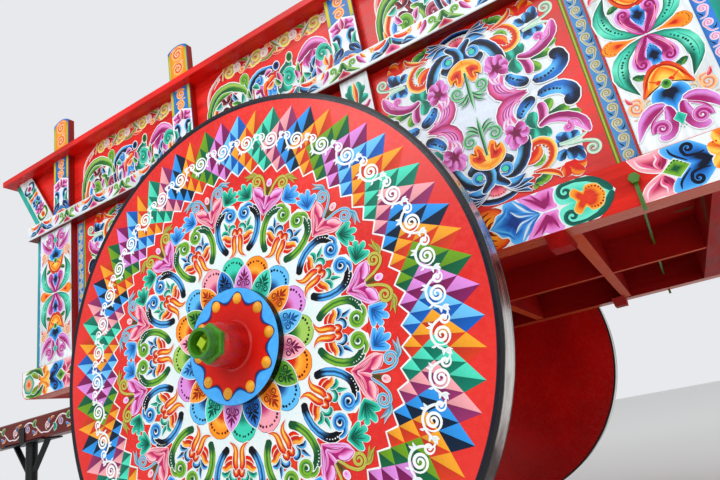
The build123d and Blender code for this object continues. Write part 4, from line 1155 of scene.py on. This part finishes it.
def acanthus_frieze(brush):
    # The upper panels: a vine of coiled roses above, and a thicket of leaves in all colours below.
    g = brush.at(size=FRIEZE_GRID)
    rose = (WHITE, (0.95, 0.84, 0.80), (0.86, 0.55, 0.50))
    gold = ((0.98, 0.90, 0.55), (0.86, 0.78, 0.20), (0.62, 0.60, 0.10))
    amber = ((0.99, 0.80, 0.52), (0.96, 0.52, 0.18), RUST)
    g.snail((-345, 68), 8, 60, 1.0, 5, rose, [(-398, -98), (-396, -20), (-376, 30)])
    g.snail((-306, 90), 15, -40, 1.2, 5, rose, [(-340, 40), (-320, 62)])
    g.leaf([(-392, -96), (-390, -10), (-364, 50), (-310, 96), (-250, 132)], 9, rose)
    for x, flip in ((-214, 1), (-14, -1), (186, 1), (386, -1)):
        u = g.at(x, 100, size=1.16)
        u.snail((0, -2 * flip), 40, 100 * flip, -1.7 * flip, 9, gold, [(-48, -30 * flip), (-30, 38 * flip)])
        u.snail((78, -26 * flip), 19, 150 * flip, 1.4 * flip, 7, amber)
        u.snail((48, 4 * flip), 27, 220 * flip, 1.7 * flip, 7, rose)
        if x < 380:
            u.leaf([(92, -4 * flip), (120, -24 * flip), (140, -48 * flip)], 12, ORANGES)
            u.leaf([(20, 40 * flip), (70, 40 * flip), (112, 14 * flip), (152, -28 * flip)], 9,
                   (LEAF_LIGHT, GREEN, OLIVE))
            u.leaf([(96, -36 * flip), (124, -6 * flip), (152, 26 * flip)], 11,
                   ((0.90, 0.93, 0.92), (0.60, 0.66, 0.60), OLIVE))
            u.leaf([(96, 34 * flip), (128, 44 * flip), (168, 44 * flip)], 9, amber)
    g = g.at(-4, -2).stretched(1.08, 1.36)
    for low, high, top in ((-372, -210, -20), (-200, -60, -40), (-50, 60, -20), (110, 240, -50),
                           (250, 430, -30)):
        middle = (low + high) / 2
        g.patch(oval((high - low) / 2, (top + 196) / 2, (middle, (top - 196) / 2), 18),
                [(1, WHITE), (0.5, (0.86, 0.90, 0.92))])
    g.leaf([(-366, -180), (-352, -80), (-300, -14), (-210, 0), (-120, -40), (-62, -112)], 25, GREENS,
           (0.5, 0.3, 0.4))
    g.leaf([(-340, -150), (-318, -70), (-262, -28), (-190, -28)], 15, LEAVES, (0.5, 0.1, 0.5))
    g.snail((-106, -4), 26, -60, 1.5, 12, LEAVES, [(-60, -100), (-84, -50)])
    g.scroll([(-322, -186), (-330, -130), (-306, -78), (-270, -50)], 15, amber, (0.4, 0.3, 0.5))
    g.leaf([(-296, -180), (-292, -130), (-264, -90)], 13, (SKY, (0.55, 0.62, 0.90), BLUE))
    g.fan((-200, -110), [(-262, -92), (-166, -60), (-214, -52)], 20,
          ((0.60, 0.20, 0.24), (0.42, 0.06, 0.12), (0.28, 0.03, 0.08)))
    g.snail((-236, -142), 34, 150, -1.4, 14, LEAVES, [(-150, -190), (-200, -178)])
    g.leaf([(-150, -190), (-140, -140), (-160, -104), (-196, -84)], 20, GREENS, (0.4, 0.2, 0.5))
    g.snail((-104, -150), 30, 60, 1.4, 13, ((0.80, 0.40, 0.50), (0.45, 0.06, 0.16), PLUM),
            [(-30, -190), (-60, -130)])
    g.scroll([(-60, -186), (-78, -110), (-62, -44), (-8, -14), (60, -20), (96, -30)], 17, BLUES,
             (0.4, 0.8, 0.5))
    g.patch(oval(19, 19, (106, -20), 14), [(1, BLUE), (0.6, NAVY)], None, WHITE, 4)
    g.snail((-10, -50), 26, 80, -1.5, 11, BLUES)
    g.leaf([(-40, -100), (-4, -90), (14, -120), (4, -168)], 19, MAGENTAS, (0.3, 0.4, 0.6))
    g.fan((20, -130), [(86, -58), (44, -68), (92, -92)], 16, REDS)
    g.snail((76, -120), 31, 200, -1.5, 13, (SKY, (0.16, 0.50, 0.84), BLUE), [(30, -190), (40, -160)])
    g.leaf([(96, -190), (70, -170), (36, -172)], 16, amber, NEEDLE)
    g.leaf([(190, -14), (176, -50), (140, -84), (136, -140), (186, -184), (246, -160)], 36, TEALS,
           (0.3, 0.2, 0.6))
    g.snail((170, -102), 36, 120, -1.5, 15, TEALS, [(222, -150), (206, -86)])
    g.patch(oval(18, 22, (190, -14), 14), [(1, GREEN), (0.6, DEEP_GREEN)], None, WHITE, 4)
    g.leaf([(222, -190), (196, -170), (160, -176)], 17, REDS, NEEDLE)
    g.leaf([(230, -66), (270, -36), (330, -14), (392, -38), (424, -84)], 27, MAGENTAS, (0.2, 0.1, 0.5))
    g.fan((330, -40), [(262, -84), (352, -132), (300, -112)], 23, LILACS)
    g.scroll([(236, -196), (282, -168), (306, -120), (302, -88)], 15, BLUES, (0.7, 0.2, 0.3))
    g.snail((378, -78), 33, 30, 1.5, 13, TEALS, [(430, -130), (424, -80), (408, -62)])
    g.leaf([(290, -180), (330, -140), (350, -186)], 14, BLUES)
    g.scroll([(330, -190), (380, -176), (412, -140), (424, -104)], 17, amber, (0.3, 0.3, 0.5))
    g.leaf([(350, -198), (404, -192), (434, -150)], 13, TEALS)
    g.leaf([(-250, -196), (-280, -172), (-318, -192)], 15, TEALS, BLADE)
    g.leaf([(-92, -196), (-120, -182), (-170, -196)], 13, MAGENTAS, BLADE)
    g.fan((-232, -70), [(-262, -40), (-210, -36)], 15, ((0.66, 0.20, 0.30), (0.46, 0.06, 0.16),
                                                        (0.30, 0.03, 0.10)))
    g.leaf([(-30, -196), (0, -180), (20, -196)], 13, ORANGES, BLADE)
    g.leaf([(106, -54), (120, -90), (112, -130)], 14, PINKS, BLADE)
    g.leaf([(258, -196), (244, -160), (262, -122)], 12, LEAVES, BLADE)
    g.leaf([(-358, -196), (-340, -170), (-346, -130)], 11, ORANGES, BLADE)
    for x, y, turn, paint in ((-284, -62, 200, TEALS), (-168, -60, 120, BLUES), (-176, -128, 60, MAGENTAS),
                              (-128, -84, 250, TEALS), (-74, -86, 100, GREENS), (-34, -74, 330, TEALS),
                              (-20, -140, 70, BLUES), (54, -40, 10, MAGENTAS), (60, -92, 200, ORANGES),
                              (110, -96, 130, GREENS), (124, -178, 20, BLUES), (216, -110, 280, MAGENTAS),
                              (240, -86, 90, GREENS), (282, -130, 150, TEALS), (330, -96, 60, BLUES),
                              (352, -146, 120, MAGENTAS), (398, -122, 100, ORANGES),
                              (-262, -112, 120, MAGENTAS)):
        g.at(x, y, turn).leaf([(-22, 0), (2, 9), (26, 2)], 12, paint, (0.2, 0.05, 0.45), WHITE, 3)


def band_run(brush, length):
    # The middle band: blue double scrolls and green curls in turn, with fans between their feet.
    pitch = 310
    count = int(length / pitch / 2) * 2 + 1
    for k, x in enumerate(evenly(count, length / count)):
        g = brush.at(x, 0)
        q = g.both()
        if k % 2 == 0:
            g.patch(mirrored([(0, 4), (40, -14), (46, -46)]), [(1, PINK), (0.6, ROSE), (0.2, PLUM)], (0, -34),
                    WHITE, 3)
            q.leaf([(0, 40), (26, 6), (74, -22), (146, -34)], 17, BLUES, (0.5, 0.15, 0.5))
            q.leaf([(60, -22), (104, -8), (140, -40)], 10, BLUES, (0.2, 0.1, 0.6))
            q.leaf([(24, 44), (52, 26), (96, 22), (132, 44)], 13, REDS, (0.4, 0.2, 0.5))
            q.snail((112, 26), 17, 240, 1.2, 6, ORANGES)
            g.leaf([(0, 46), (0, 20), (0, -2)], 9, (TEAL, DEEP_TEAL, DEEP_GREEN))
        else:
            g.patch(mirrored([(0, -6), (34, -30), (42, -50)]),
                    [(1, (0.90, 0.50, 0.50)), (0.5, (0.66, 0.10, 0.16)), (0.2, PLUM)], (0, -40), WHITE, 3)
            q.leaf([(0, 44), (20, 0), (60, -28), (104, -44)], 16, GREENS, (0.5, 0.1, 0.4))
            q.snail((66, 16), 24, 230, -1.4, 8, LEAVES, [(20, -12), (38, -6)])
            q.leaf([(96, 40), (112, 8), (146, -30)], 15, MAGENTAS, NEEDLE)
            q.leaf([(120, 44), (136, 20), (154, 4)], 10, ORANGES)


def stake_face(brush):
    # From the top: orange spirals between yellow edges, a pink flower, dark blue scrolls, an orange bracket.
    g = brush
    q = g.both()
    q.patch(rectangle(67, 60, 89, 250), [(1, (0.66, 0.66, 0.12)), (0.5, (0.80, 0.74, 0.20))])
    amber = ((0.99, 0.78, 0.40), (0.97, 0.50, 0.10), RUST)
    for k, flip in enumerate((1, -1)):
        g.snail((5 * flip, 200 - 86 * k), 38, 90 - 60 * flip, 1.8 * flip, 9, amber,
                [(-44 * flip, 242 - 86 * k), (0, 242 - 86 * k)])
    g.patch([(-90, -150), (90, -150), (90, 50), (0, 86), (-90, 50)], [(1, WHITE), (0.4, (0.88, 0.86, 0.94))])
    q.fan((0, 12), [(82, 30), (76, -22), (34, 62)], 21, MAGENTAS)
    g.leaf([(0, 0), (0, 40), (0, 84)], 18, PINKS)
    q.scroll([(22, -158), (40, -110), (30, -60), (48, -30), (74, -46)], 17, BLUES, (0.5, 0.7, 0.5))
    q.leaf([(88, -150), (60, -118), (64, -74), (84, -52)], 15, TEALS)
    q.fan((24, -120), [(84, -176), (50, -170)], 14, (BLUE, NAVY, NAVY))
    q.scroll([(0, -196), (34, -206), (70, -232), (90, -236)], 15, amber, (0.9, 0.4, 0.3))


def stake_crown(brush):
    # What shows of a stake above the top rail.
    edges = brush.both()
    edges.patch([(66, -150), (88, -150), (88, 92), (66, 114)],
                [(1, (0.60, 0.60, 0.12)), (0.5, (0.74, 0.70, 0.20))])
    brush.patch([(-66, -150), (66, -150), (66, 114), (40, 134), (0, 142), (-40, 134), (-66, 114)],
                [(1, (0.93, 0.50, 0.10)), (0.5, (0.97, 0.62, 0.14))], (0, 0))
    amber = (YELLOW, (0.90, 0.24, 0.07), (0.66, 0.07, 0.04))
    for k, flip in enumerate((1, -1)):
        brush.snail((2 * flip, 74 - 122 * k), 52, 90 - 60 * flip, 1.8 * flip, 11, amber,
                    [(-52 * flip, 122 - 122 * k), (0, 130 - 122 * k)])


def running_strip(brush, length, paint, ground, pitch=75, tall=25):
    # A narrow upright strip of S curls on its own ground.
    brush.patch(rectangle(-tall * 1.35, -length / 2, tall * 1.35, length / 2), [(1, ground), (0.5, ground)])
    count = int(length / pitch)
    for k in range(count):
        y = (k - (count - 1) / 2) * length / count
        flip = 1 if k % 2 else -1
        brush.snail((0, y), tall * 0.80, 90 - 110 * flip, 1.7 * flip, tall * 0.20, paint,
                    [(-tall * 0.9 * flip, y - pitch * 0.62), (tall * 0.1 * flip, y - pitch * 0.56)], WHITE,
                    tall * 0.07)
        brush.leaf([(-tall * 0.3 * flip, y - pitch * 0.48), (-tall * 0.7 * flip, y - pitch * 0.36),
                    (-tall * 1.1 * flip, y - pitch * 0.12)], tall * 0.22, BLUES, (0.4, 0.1, 0.4), None)
        brush.level -= 2


def post_leaf(brush, height):
    # A post between the lower panels: fans of leaf, one above the other.
    count = 5
    for k, y in enumerate(evenly(count, height / count)):
        g = brush.at(0, y)
        q = g.both()
        q.fan((0, -70), [(74, -30), (62, 36), (24, 74)], 23, (TEALS, MAGENTAS)[k % 2])
        q.scroll([(12, -84), (52, -92), (80, -66)], 13, (PINKS, BLUES)[k % 2], (0.5, 0.4, 0.5))
        g.leaf([(0, -60), (0, 20), (0, 84)], 16, (ORANGES, LEAVES)[k % 2])


def beam_fruit(brush):
    # The lower beam, towards its end: a fruit, blue and lilac flowers, and a teal heart.
    g = brush.at(size=BEAM_GRID)
    g.patch(oval(92, 92, (-362, 0), 30), [(1, (0.60, 0.12, 0.05)), (0.85, (0.90, 0.34, 0.08)),
                                          (0.5, (0.97, 0.60, 0.14)), (0.2, (0.98, 0.72, 0.22))], (-380, 0),
            WHITE, 5)
    for r in (30, 52, 74):
        bow = [(-334 + r * math.cos(math.radians(s)), 0.95 * r * math.sin(math.radians(s)))
               for s in range(100, 261, 20)]
        g.line(bow, 7, (0.50, 0.09, 0.04), (0.2, 0.2, 0.5))
    q = g.both(False)
    q.fan((-440, 92), [(-396, 52), (-424, 34)], 22, GREENS)
    petal = smooth_line([(-150, 2), (-186, 26), (-214, 50), (-232, 76), (-222, 93), (-190, 92), (-164, 76),
                         (-140, 92), (-106, 90), (-84, 60), (-92, 30), (-100, 4)], 3)
    q.patch(petal, [(1, LILAC), (0.8, (0.90, 0.55, 0.84)), (0.5, (0.82, 0.36, 0.66)),
                    (0.25, (0.56, 0.04, 0.38))], (-138, 30), WHITE, 5)
    for way, tip in (((-178, 54), (-212, 78)), ((-158, 50), (-180, 80)), ((-122, 46), (-112, 76))):
        q.leaf([(-142, 12), way, tip], 6, ((0.62, 0.06, 0.42), PLUM, PLUM), (0.4, 0.1, 0.4), None)
    lily = smooth_line([(-160, 0), (-186, 14), (-206, 30), (-220, 52), (-236, 78), (-264, 92), (-290, 76),
                        (-296, 50), (-320, 44), (-336, 20), (-360, 0)], 3)
    g.patch(mirrored_rows(lily), [(1, SKY), (0.84, (0.30, 0.66, 0.94)), (0.55, BLUE),
                                  (0.25, (0.04, 0.20, 0.50))], (-262, 0), WHITE, 5)
    q.leaf([(-166, 2), (-200, 24), (-222, 50), (-250, 80)], 12, (WHITE, SKY, BLUE), (0.2, 0.1, 0.6), None)
    q.leaf([(-168, 1), (-210, 12), (-240, 20), (-268, 44)], 9, (WHITE, SKY, BLUE), (0.2, 0.05, 0.6), None)
    q.leaf([(-276, 66), (-292, 40), (-322, 22), (-352, 0)], 8, (SKY, (0.30, 0.66, 0.94), BLUE),
           (0.4, 0.1, 0.5), None)
    h = g.at(-2, 0, size=1.13)
    heart = smooth_line([(90, 0), (66, 34), (36, 62), (-10, 81), (-50, 80), (-78, 58), (-86, 30), (-76, 8),
                         (-46, 0)], 3)
    h.patch(mirrored_rows(heart), [(1, (0.42, 0.88, 0.78)), (0.7, (0.42, 0.88, 0.78)), (0.4, TEAL)], (0, 0),
            WHITE, 5)
    u = h.both(False)
    deep = (0.02, 0.30, 0.27)
    rim = smooth_line([(86, 1), (64, 32), (34, 58), (-10, 74)])
    u.stroke(rim, 12, (0.6, 0.4, 0.3), [(-1, deep), (1, DEEP_TEAL)], None)
    u.snail((-50, 42), 26, 96, 1.25, 7, (DEEP_TEAL, deep, deep), [(30, 54), (-14, 68)], None)
    core = smooth_line([(64, 0), (46, 36), (14, 42), (0, 24), (-22, 44), (-38, 26), (-22, 0)], 3)
    h.patch(mirrored_rows(core), [(1, (0.97, 0.62, 0.14)), (0.8, ORANGE), (0.55, RUST),
                                  (0.3, (0.86, 0.20, 0.10))], (4, 0), (0.80, 0.84, 0.60), 3)
    u.dots([(58, 6), (50, 24), (32, 34), (14, 32)], 3.6, (0.66, 0.10, 0.06), 7)


def beam_corner(brush):
    # The beam's end, past the tie rod: pink, blue and orange petals, then green leaves round a ball.
    g = brush.at(size=BEAM_GRID)
    q = g.both(False)
    bud = smooth_line([(86, 2), (52, 14), (22, 34), (4, 66), (2, 88), (60, 80), (120, 88), (128, 56),
                       (110, 26)], 3)
    q.patch(bud, [(1, (0.95, 0.66, 0.68)), (0.78, PINK), (0.45, (0.80, 0.26, 0.40)),
                  (0.2, (0.56, 0.06, 0.24))], (82, 26), WHITE, 4)
    q.leaf([(82, 12), (56, 30), (30, 50), (18, 78)], 8, (WHITE, PINK, ROSE), NEEDLE, None)
    q.leaf([(84, 14), (76, 36), (88, 54), (82, 76)], 8, (WHITE, PINK, ROSE), NEEDLE, None)
    q.leaf([(88, 12), (104, 34), (110, 56), (112, 80)], 7, ((0.66, 0.10, 0.26), (0.56, 0.06, 0.24), PLUM),
           NEEDLE, None)
    blue = smooth_line([(280, 0), (244, 34), (214, 64), (180, 86), (106, 84), (112, 46), (156, 10), (168, 0)],
                       3)
    g.patch(mirrored_rows(blue), [(1, SKY), (0.82, (0.24, 0.60, 0.90)), (0.5, BLUE), (0.25, NAVY)], (226, 0),
            WHITE, 4)
    q.snail((182, 56), 20, 200, -1.4, 6, (NAVY, NAVY, NAVY), [(226, 30), (204, 26), (172, 32)], None)
    q.line([(124, 76), (132, 50), (170, 14)], 4, NAVY, (0.3, 0.4, 0.5))
    g.patch(mirrored_rows([(172, 0), (132, 34), (88, 0)]), [(1, LEAF_LIGHT), (0.6, GREEN),
                                                            (0.25, DEEP_GREEN)], (128, 0), WHITE, 4)
    g.dots([(160, 8), (132, 28), (102, 8)], 3.4, DEEP_GREEN, 7)
    q.fan((330, 4), [(236, 40), (268, 84), (318, 66)], 28, ORANGES, 0.1)
    q.dots([(256, 46), (284, 44), (306, 30)], 4, RED, 6)
    q.leaf([(300, 26), (340, 70), (404, 84), (470, 66)], 28, GREENS, (0.2, 0.2, 0.6))
    q.leaf([(340, 20), (390, 48), (440, 40)], 18, (LEAF_LIGHT, GREEN, OLIVE))
    g.patch(mirrored_rows([(496, 0), (476, 48), (430, 60), (398, 30), (388, 0)]),
            [(1, DEEP_TEAL), (0.8, (0.30, 0.70, 0.58)), (0.4, (0.93, 0.62, 0.40)),
             (0.15, (0.86, 0.26, 0.14))], (440, 0), WHITE, 4)


def wing_run(brush, length):
    # The slanted board at each end of the upper tier: a heart, flowers and leaves up the slope.
    g = brush
    q = g.both()
    q.scroll([(0, -length * 0.42), (52, -length * 0.37), (56, -length * 0.25), (10, -length * 0.25)], 16,
             GREENS, (0.4, 0.5, 0.5))
    g.patch(oval(26, 34, (0, -length * 0.33), 14), [(1, ORANGE), (0.5, RUST)], None, (0.95, 0.85, 0.4), 3)
    q.fan((0, -length * 0.20), [(70, -length * 0.18), (60, -length * 0.08), (34, -length * 0.24)], 24,
          MAGENTAS)
    q.fan((0, -length * 0.02), [(66, -length * 0.02), (50, length * 0.07), (56, -length * 0.10)], 25, BLUES)
    q.fan((0, length * 0.12), [(68, length * 0.09), (62, length * 0.17)], 20, ORANGES)
    q.fan((0, length * 0.18), [(70, length * 0.20), (54, length * 0.28)], 22, TEALS)
    q.scroll([(10, length * 0.26), (60, length * 0.31), (62, length * 0.39), (10, length * 0.43)], 17,
             (SKY, (0.16, 0.36, 0.50), NAVY))
    g.patch(oval(30, 27, (0, length * 0.345), 14), [(1, ROSE), (0.5, PLUM)], None, WHITE, 3)
    g.patch(oval(20, 20, (0, -length * 0.02), 12), [(1, TEAL), (0.5, DEEP_TEAL)], None, WHITE, 3)


def pole_vine(brush, length):
    # A white stem that winds along the pole, with coils, leaves and buds in its bends.
    count = round(length / 520)
    step = length / count
    lilac = ((0.86, 0.80, 0.90), (0.66, 0.50, 0.72), PLUM)
    for x in evenly(count, step):
        g = brush.at(x, 0)
        g.line([(-step / 2, -62), (-step * 0.36, -66), (-step * 0.2, -10), (-step * 0.06, 58),
                (step * 0.1, 62), (step * 0.26, 6), (step * 0.4, -58), (step / 2, -62)], 7,
               (0.93, 0.88, 0.90), (0.9, 0.9, 0.5))
        g.snail((0, 6), 44, 80, 1.6, 9, lilac)
        g.snail((-step / 2 + 60, -2), 44, 260, -1.6, 9, ((0.98, 0.93, 0.93), (0.93, 0.80, 0.80), ROSE))
        g.leaf([(-step * 0.22, 0), (-step * 0.16, -30), (-step * 0.20, -74)], 22, TEALS, (0.3, 0.3, 0.7))
        g.leaf([(step * 0.24, 10), (step * 0.18, 40), (step * 0.26, 78)], 20, LEAVES, (0.3, 0.3, 0.7))
        g.leaf([(-step * 0.30, 40), (-step * 0.27, 62), (-step * 0.20, 70)], 11, ORANGES)
        g.leaf([(-step * 0.34, 6), (-step * 0.36, 40), (-step * 0.33, 66)], 13, BLUES)
        g.leaf([(step * 0.14, -20), (step * 0.20, -44), (step * 0.28, -60)], 12, (SKY, (0.5, 0.6, 0.9), BLUE))
        g.leaf([(step * 0.30, -30), (step * 0.25, -56), (step * 0.17, -70)], 10, ORANGES)


STRIP_TAN = ((0.80, 0.80, 0.62), (0.66, 0.62, 0.40), OLIVE)
PINK_VINE = ((0.95, 0.88, 0.95), (0.90, 0.60, 0.80), ROSE)


def narrowed(flat):
    # On the pole's tapered end the vine shrinks with the timber, and its middle line falls.
    share = np.clip(np.abs(flat[:, 0]) / (POLE_TAPER * MM), 0, 1)
    return np.stack([flat[:, 0], 0.195 - 0.040 * share + flat[:, 1] * (1 - 0.36 * share)], 1)


def paint_end(name, end):
    # The cart's front or back: two scroll panels round a heart board, the band, and the flared boards above.
    lower = Ground("end_panel_ornament_" + name, "root", (AXLE_X + end * END_OUT * MM, 0, AXLE_Z),
                   (0, end, 0), UP)
    for y in (-710, 710):
        scroll_panel(lower.brush(MM).at(y, LOWER_MIDDLE, size=0.975))
    board = lower.brush(MM)
    board.patch(rectangle(-205, 385, 205, 1376), [(1, WHITE)])
    heart_board(board.at(0, LOWER_MIDDLE))
    lower.finish("red_painted_wood")

    band = Ground("end_band_ornament_" + name, "root", (AXLE_X + end * END_BAND_OUT * MM, 0, AXLE_Z),
                  (0, end, 0), UP)
    strip = band.brush(MM)
    strip.patch(rectangle(-1240, 1392, 1240, 1488), [(1, WHITE)])
    band_run(strip.at(0, BAND_MIDDLE), 2440)
    band.finish("white_painted_wood")

    slant = math.hypot(RISE, RUN)
    foot = (AXLE_X + end * (FLARE_FOOT + FLARE_T) * MM, 0, AXLE_Z + BAND_TOP * MM)
    upper = Ground("end_flare_ornament_" + name, "root", foot, (0, end, 0),
                   (end * RUN / slant, 0, RISE / slant))
    for y in (-816, -36, 744):
        acanthus_frieze(upper.brush(MM).at(y, 352, size=0.75))
    upper.finish("red_painted_wood")

    beam = Ground("end_beam_ornament_" + name, "root", (AXLE_X + end * END_BEAM_OUT * MM, 0, AXLE_Z),
                  (0, end, 0), UP)
    for y, flip in ((640, False), (-640, True)):
        half = beam.brush(MM).within((-1.23, 0.176), (1.23, 0.370)).at(y, BEAM_MIDDLE, flip=flip)
        half.patch([(-500, -97), (480, -97), (540, -50), (540, 50), (480, 97), (-500, 97)], [(1, WHITE)],
                   (0, 0))
        beam_fruit(half.at(60, 0, level=1))
        half.at(420, 0, level=1).fan((0, 0), [(-90, 70), (20, 84), (96, 40), (96, -40), (20, -84),
                                              (-90, -70)], 30, GREENS, 0.1)
    beam.finish("dark_red_painted_wood")


def paint_side(side, sign):
    # All the painted boards of one side. x runs from the axle to the rear on the left, forward on the right.
    def face(name, depth):
        return Ground(name + side, "root", (AXLE_X, sign * depth, AXLE_Z), (-sign, 0, 0), UP)

    def place(ground, x, z, flip=False):
        return ground.brush(MM).at(x, z, flip=flip)

    panel = face("panel_ornament_", PANEL_FACE)
    for x in (-BAY, 0, BAY):
        scroll_panel(place(panel, x, LOWER_MIDDLE + 13).at(size=0.975))
    for end in (-1, 1):
        running_strip(place(panel, end * EDGE_STRIP_OUT, LOWER_MIDDLE), 990, STRIP_TAN, (0.30, 0.56, 0.78))
        bead = [(-1, DEEP_GREEN), (-0.4, (0.45, 0.50, 0.08)), (0.1, (0.74, 0.76, 0.26)),
                (0.6, (0.40, 0.46, 0.08)), (1, DEEP_GREEN)]
        place(panel, end * BEAD_OUT, LOWER_MIDDLE).ribbon([(0, -504), (0, 0), (0, 504)], 10, bead, None)
    for x in (-BAY - 66, 0, BAY + 66):
        acanthus_frieze(place(panel, x, FRIEZE_MIDDLE).at(size=0.90))
    panel.finish("red_painted_wood")

    boards = face("board_ornament_", POST_FACE)
    for end in (-1, 1):
        heart_board(place(boards, end * HEART_OUT, LOWER_MIDDLE + 8))
        post_leaf(place(boards, end * POST_OUT, LOWER_MIDDLE), 980)
        for x in (end * POST_OUT, end * STAKE_OUT):
            stake_face(place(boards, x, STAKE_MIDDLE))
            stake_crown(place(boards, x, CROWN_MIDDLE))
    boards.finish("white_painted_wood")

    strips = face("corner_strip_", CORNER_FACE)
    for end in (-1, 1):
        running_strip(place(strips, end * CORNER_OUT, LOWER_MIDDLE), 1000, PINK_VINE, (0.22, 0.50, 0.84), 70,
                      24)
    strips.finish("turquoise_painted_wood")

    band = face("band_ornament_", BAND_FACE)
    band_run(place(band, 0, BAND_MIDDLE), 4640)
    band.finish("white_painted_wood")

    beam = face("beam_ornament_", BEAM_FACE)
    for end in (-1, 1):
        half = place(beam, 0, BEAM_MIDDLE, end < 0).within((-2.398, 0.174), (2.398, 0.372))
        half.at(1170, 0).patch([(-1170, -101), (410, -101), (440, 0), (410, 101), (-1170, 101)], [(1, WHITE)])
        for x in (1600, 955, 310):
            beam_fruit(half.at(x, 0, level=1))
        half.at(2100, 0).patch([(-290, -101), (224, -101), (280, -78), (298, -30), (298, 101), (-290, 101),
                                (-280, 66), (-205, 0), (-280, -66)], [(1, WHITE)])
        beam_corner(half.at(1800, 0, level=1))
    beam.finish("white_painted_wood")

    slope = math.degrees(math.atan2(RUN, RISE))
    for end, name in ((-1, "front"), (1, "rear")):
        board = face("wing_ornament_%s_" % name, WING_FACE)
        middle = (end * (FLARE_FOOT - WING_W / 2 + RUN / 2), (BAND_TOP + RAIL_LOW) / 2)
        foot_to_head = board.brush(MM).at(*middle, -end * slope)
        wing_run(foot_to_head.at(size=0.84), 600)
        board.finish("white_painted_wood")

    # The pole's side, straight and then tapered towards the tip
    beam_side = Ground("pole_ornament_" + side, "root", (AXLE_X, sign * POLE_HALF, AXLE_Z), (-sign, 0, 0), UP)
    pole_vine(place(beam_side, -sign * (POLE_PAINT + POLE_STRAIGHT) / 2, 195), POLE_STRAIGHT - POLE_PAINT)
    beam_side.finish("brown_painted_wood")
    out = Vector((POLE_TAPER, -sign * (POLE_HALF - TIP_HALF) * 1000, 0)).normalized()
    start = (AXLE_X + POLE_STRAIGHT * MM, sign * POLE_HALF, AXLE_Z)
    tip_side = Ground("pole_tip_ornament_" + side, "root", start, -sign * out, UP)
    taper = tip_side.brush(MM).at(-sign * (POLE_TAPER - 60) / 2, 0)
    taper.wrap = narrowed
    pole_vine(taper, POLE_TAPER - 80)
    tip_side.finish("brown_painted_wood")


for side, sign in SIDES:
    wheel_ornament(side, sign)
    flange_ornament(side, sign)
    paint_side(side, sign)
for end, name in ((1, "front"), (-1, "rear")):
    paint_end(name, end)


def stage_and_camera():
    scene = bpy.context.scene
    scene.view_settings.view_transform = "Standard"
    floor = bpy.data.meshes.new("floor_plane")
    reach = 60.0
    floor.from_pydata([(-reach, -reach, 0), (reach, -reach, 0), (reach, reach, 0), (-reach, reach, 0)], [],
                      [(0, 1, 2, 3)])
    f = Finish("pale_floor")
    floor.materials.append(f.surface(Base_Color=(0.93, 0.93, 0.92), Roughness=0.9))
    plane = bpy.data.objects.new("floor_plane", floor)
    plane.location.z = -0.001
    scene.collection.objects.link(plane)

    world = bpy.data.worlds.new("studio")
    scene.world = world
    world.use_nodes = True
    nodes, links = world.node_tree.nodes, world.node_tree.links
    background = nodes["Background"]
    path = nodes.new("ShaderNodeLightPath")
    level = 0.72
    for ray, strength in (("Is Glossy Ray", 0.55), ("Is Camera Ray", 0.84)):
        step = nodes.new("ShaderNodeMix")
        links.new(path.outputs[ray], step.inputs[0])
        step.inputs[3].default_value = strength
        if isinstance(level, float):
            step.inputs[2].default_value = level
        else:
            links.new(level, step.inputs[2])
        level = step.outputs[0]
    links.new(level, background.inputs["Strength"])
    background.inputs["Color"].default_value = (0.96, 0.97, 1.0, 1)

    for name, place, power, size in (("key_light", (-2.0, 9.0, 8.0), 520.0, 6.0),
                                     ("fill_light", (-12.0, 9.0, 6.0), 300.0, 8.0)):
        lamp = bpy.data.lights.new(name, "AREA")
        lamp.energy, lamp.size = power, size
        holder = bpy.data.objects.new(name, lamp)
        holder.location = place
        aim = Vector((AXLE_X, 0.0, AXLE_Z + 0.6)) - Vector(place)
        holder.rotation_euler = aim.to_track_quat("-Z", "Y").to_euler()
        scene.collection.objects.link(holder)

    camera = bpy.data.cameras.new("photo_view")
    camera.sensor_width = 36.0
    camera.lens = 28.288
    camera.clip_start, camera.clip_end = 0.05, 300
    holder = bpy.data.objects.new("photo_view", camera)
    right = Vector((-0.84882, -0.49916, -0.17418))
    down = Vector((0.31018, -0.20340, -0.92866))
    ahead = Vector((0.42813, -0.84230, 0.32748))
    turn = Matrix((right, -down, -ahead)).transposed().to_4x4()
    turn.translation = (-4.2988, 3.7688, 0.7454)
    holder.matrix_world = turn
    scene.collection.objects.link(holder)
    scene.camera = holder


stage_and_camera()
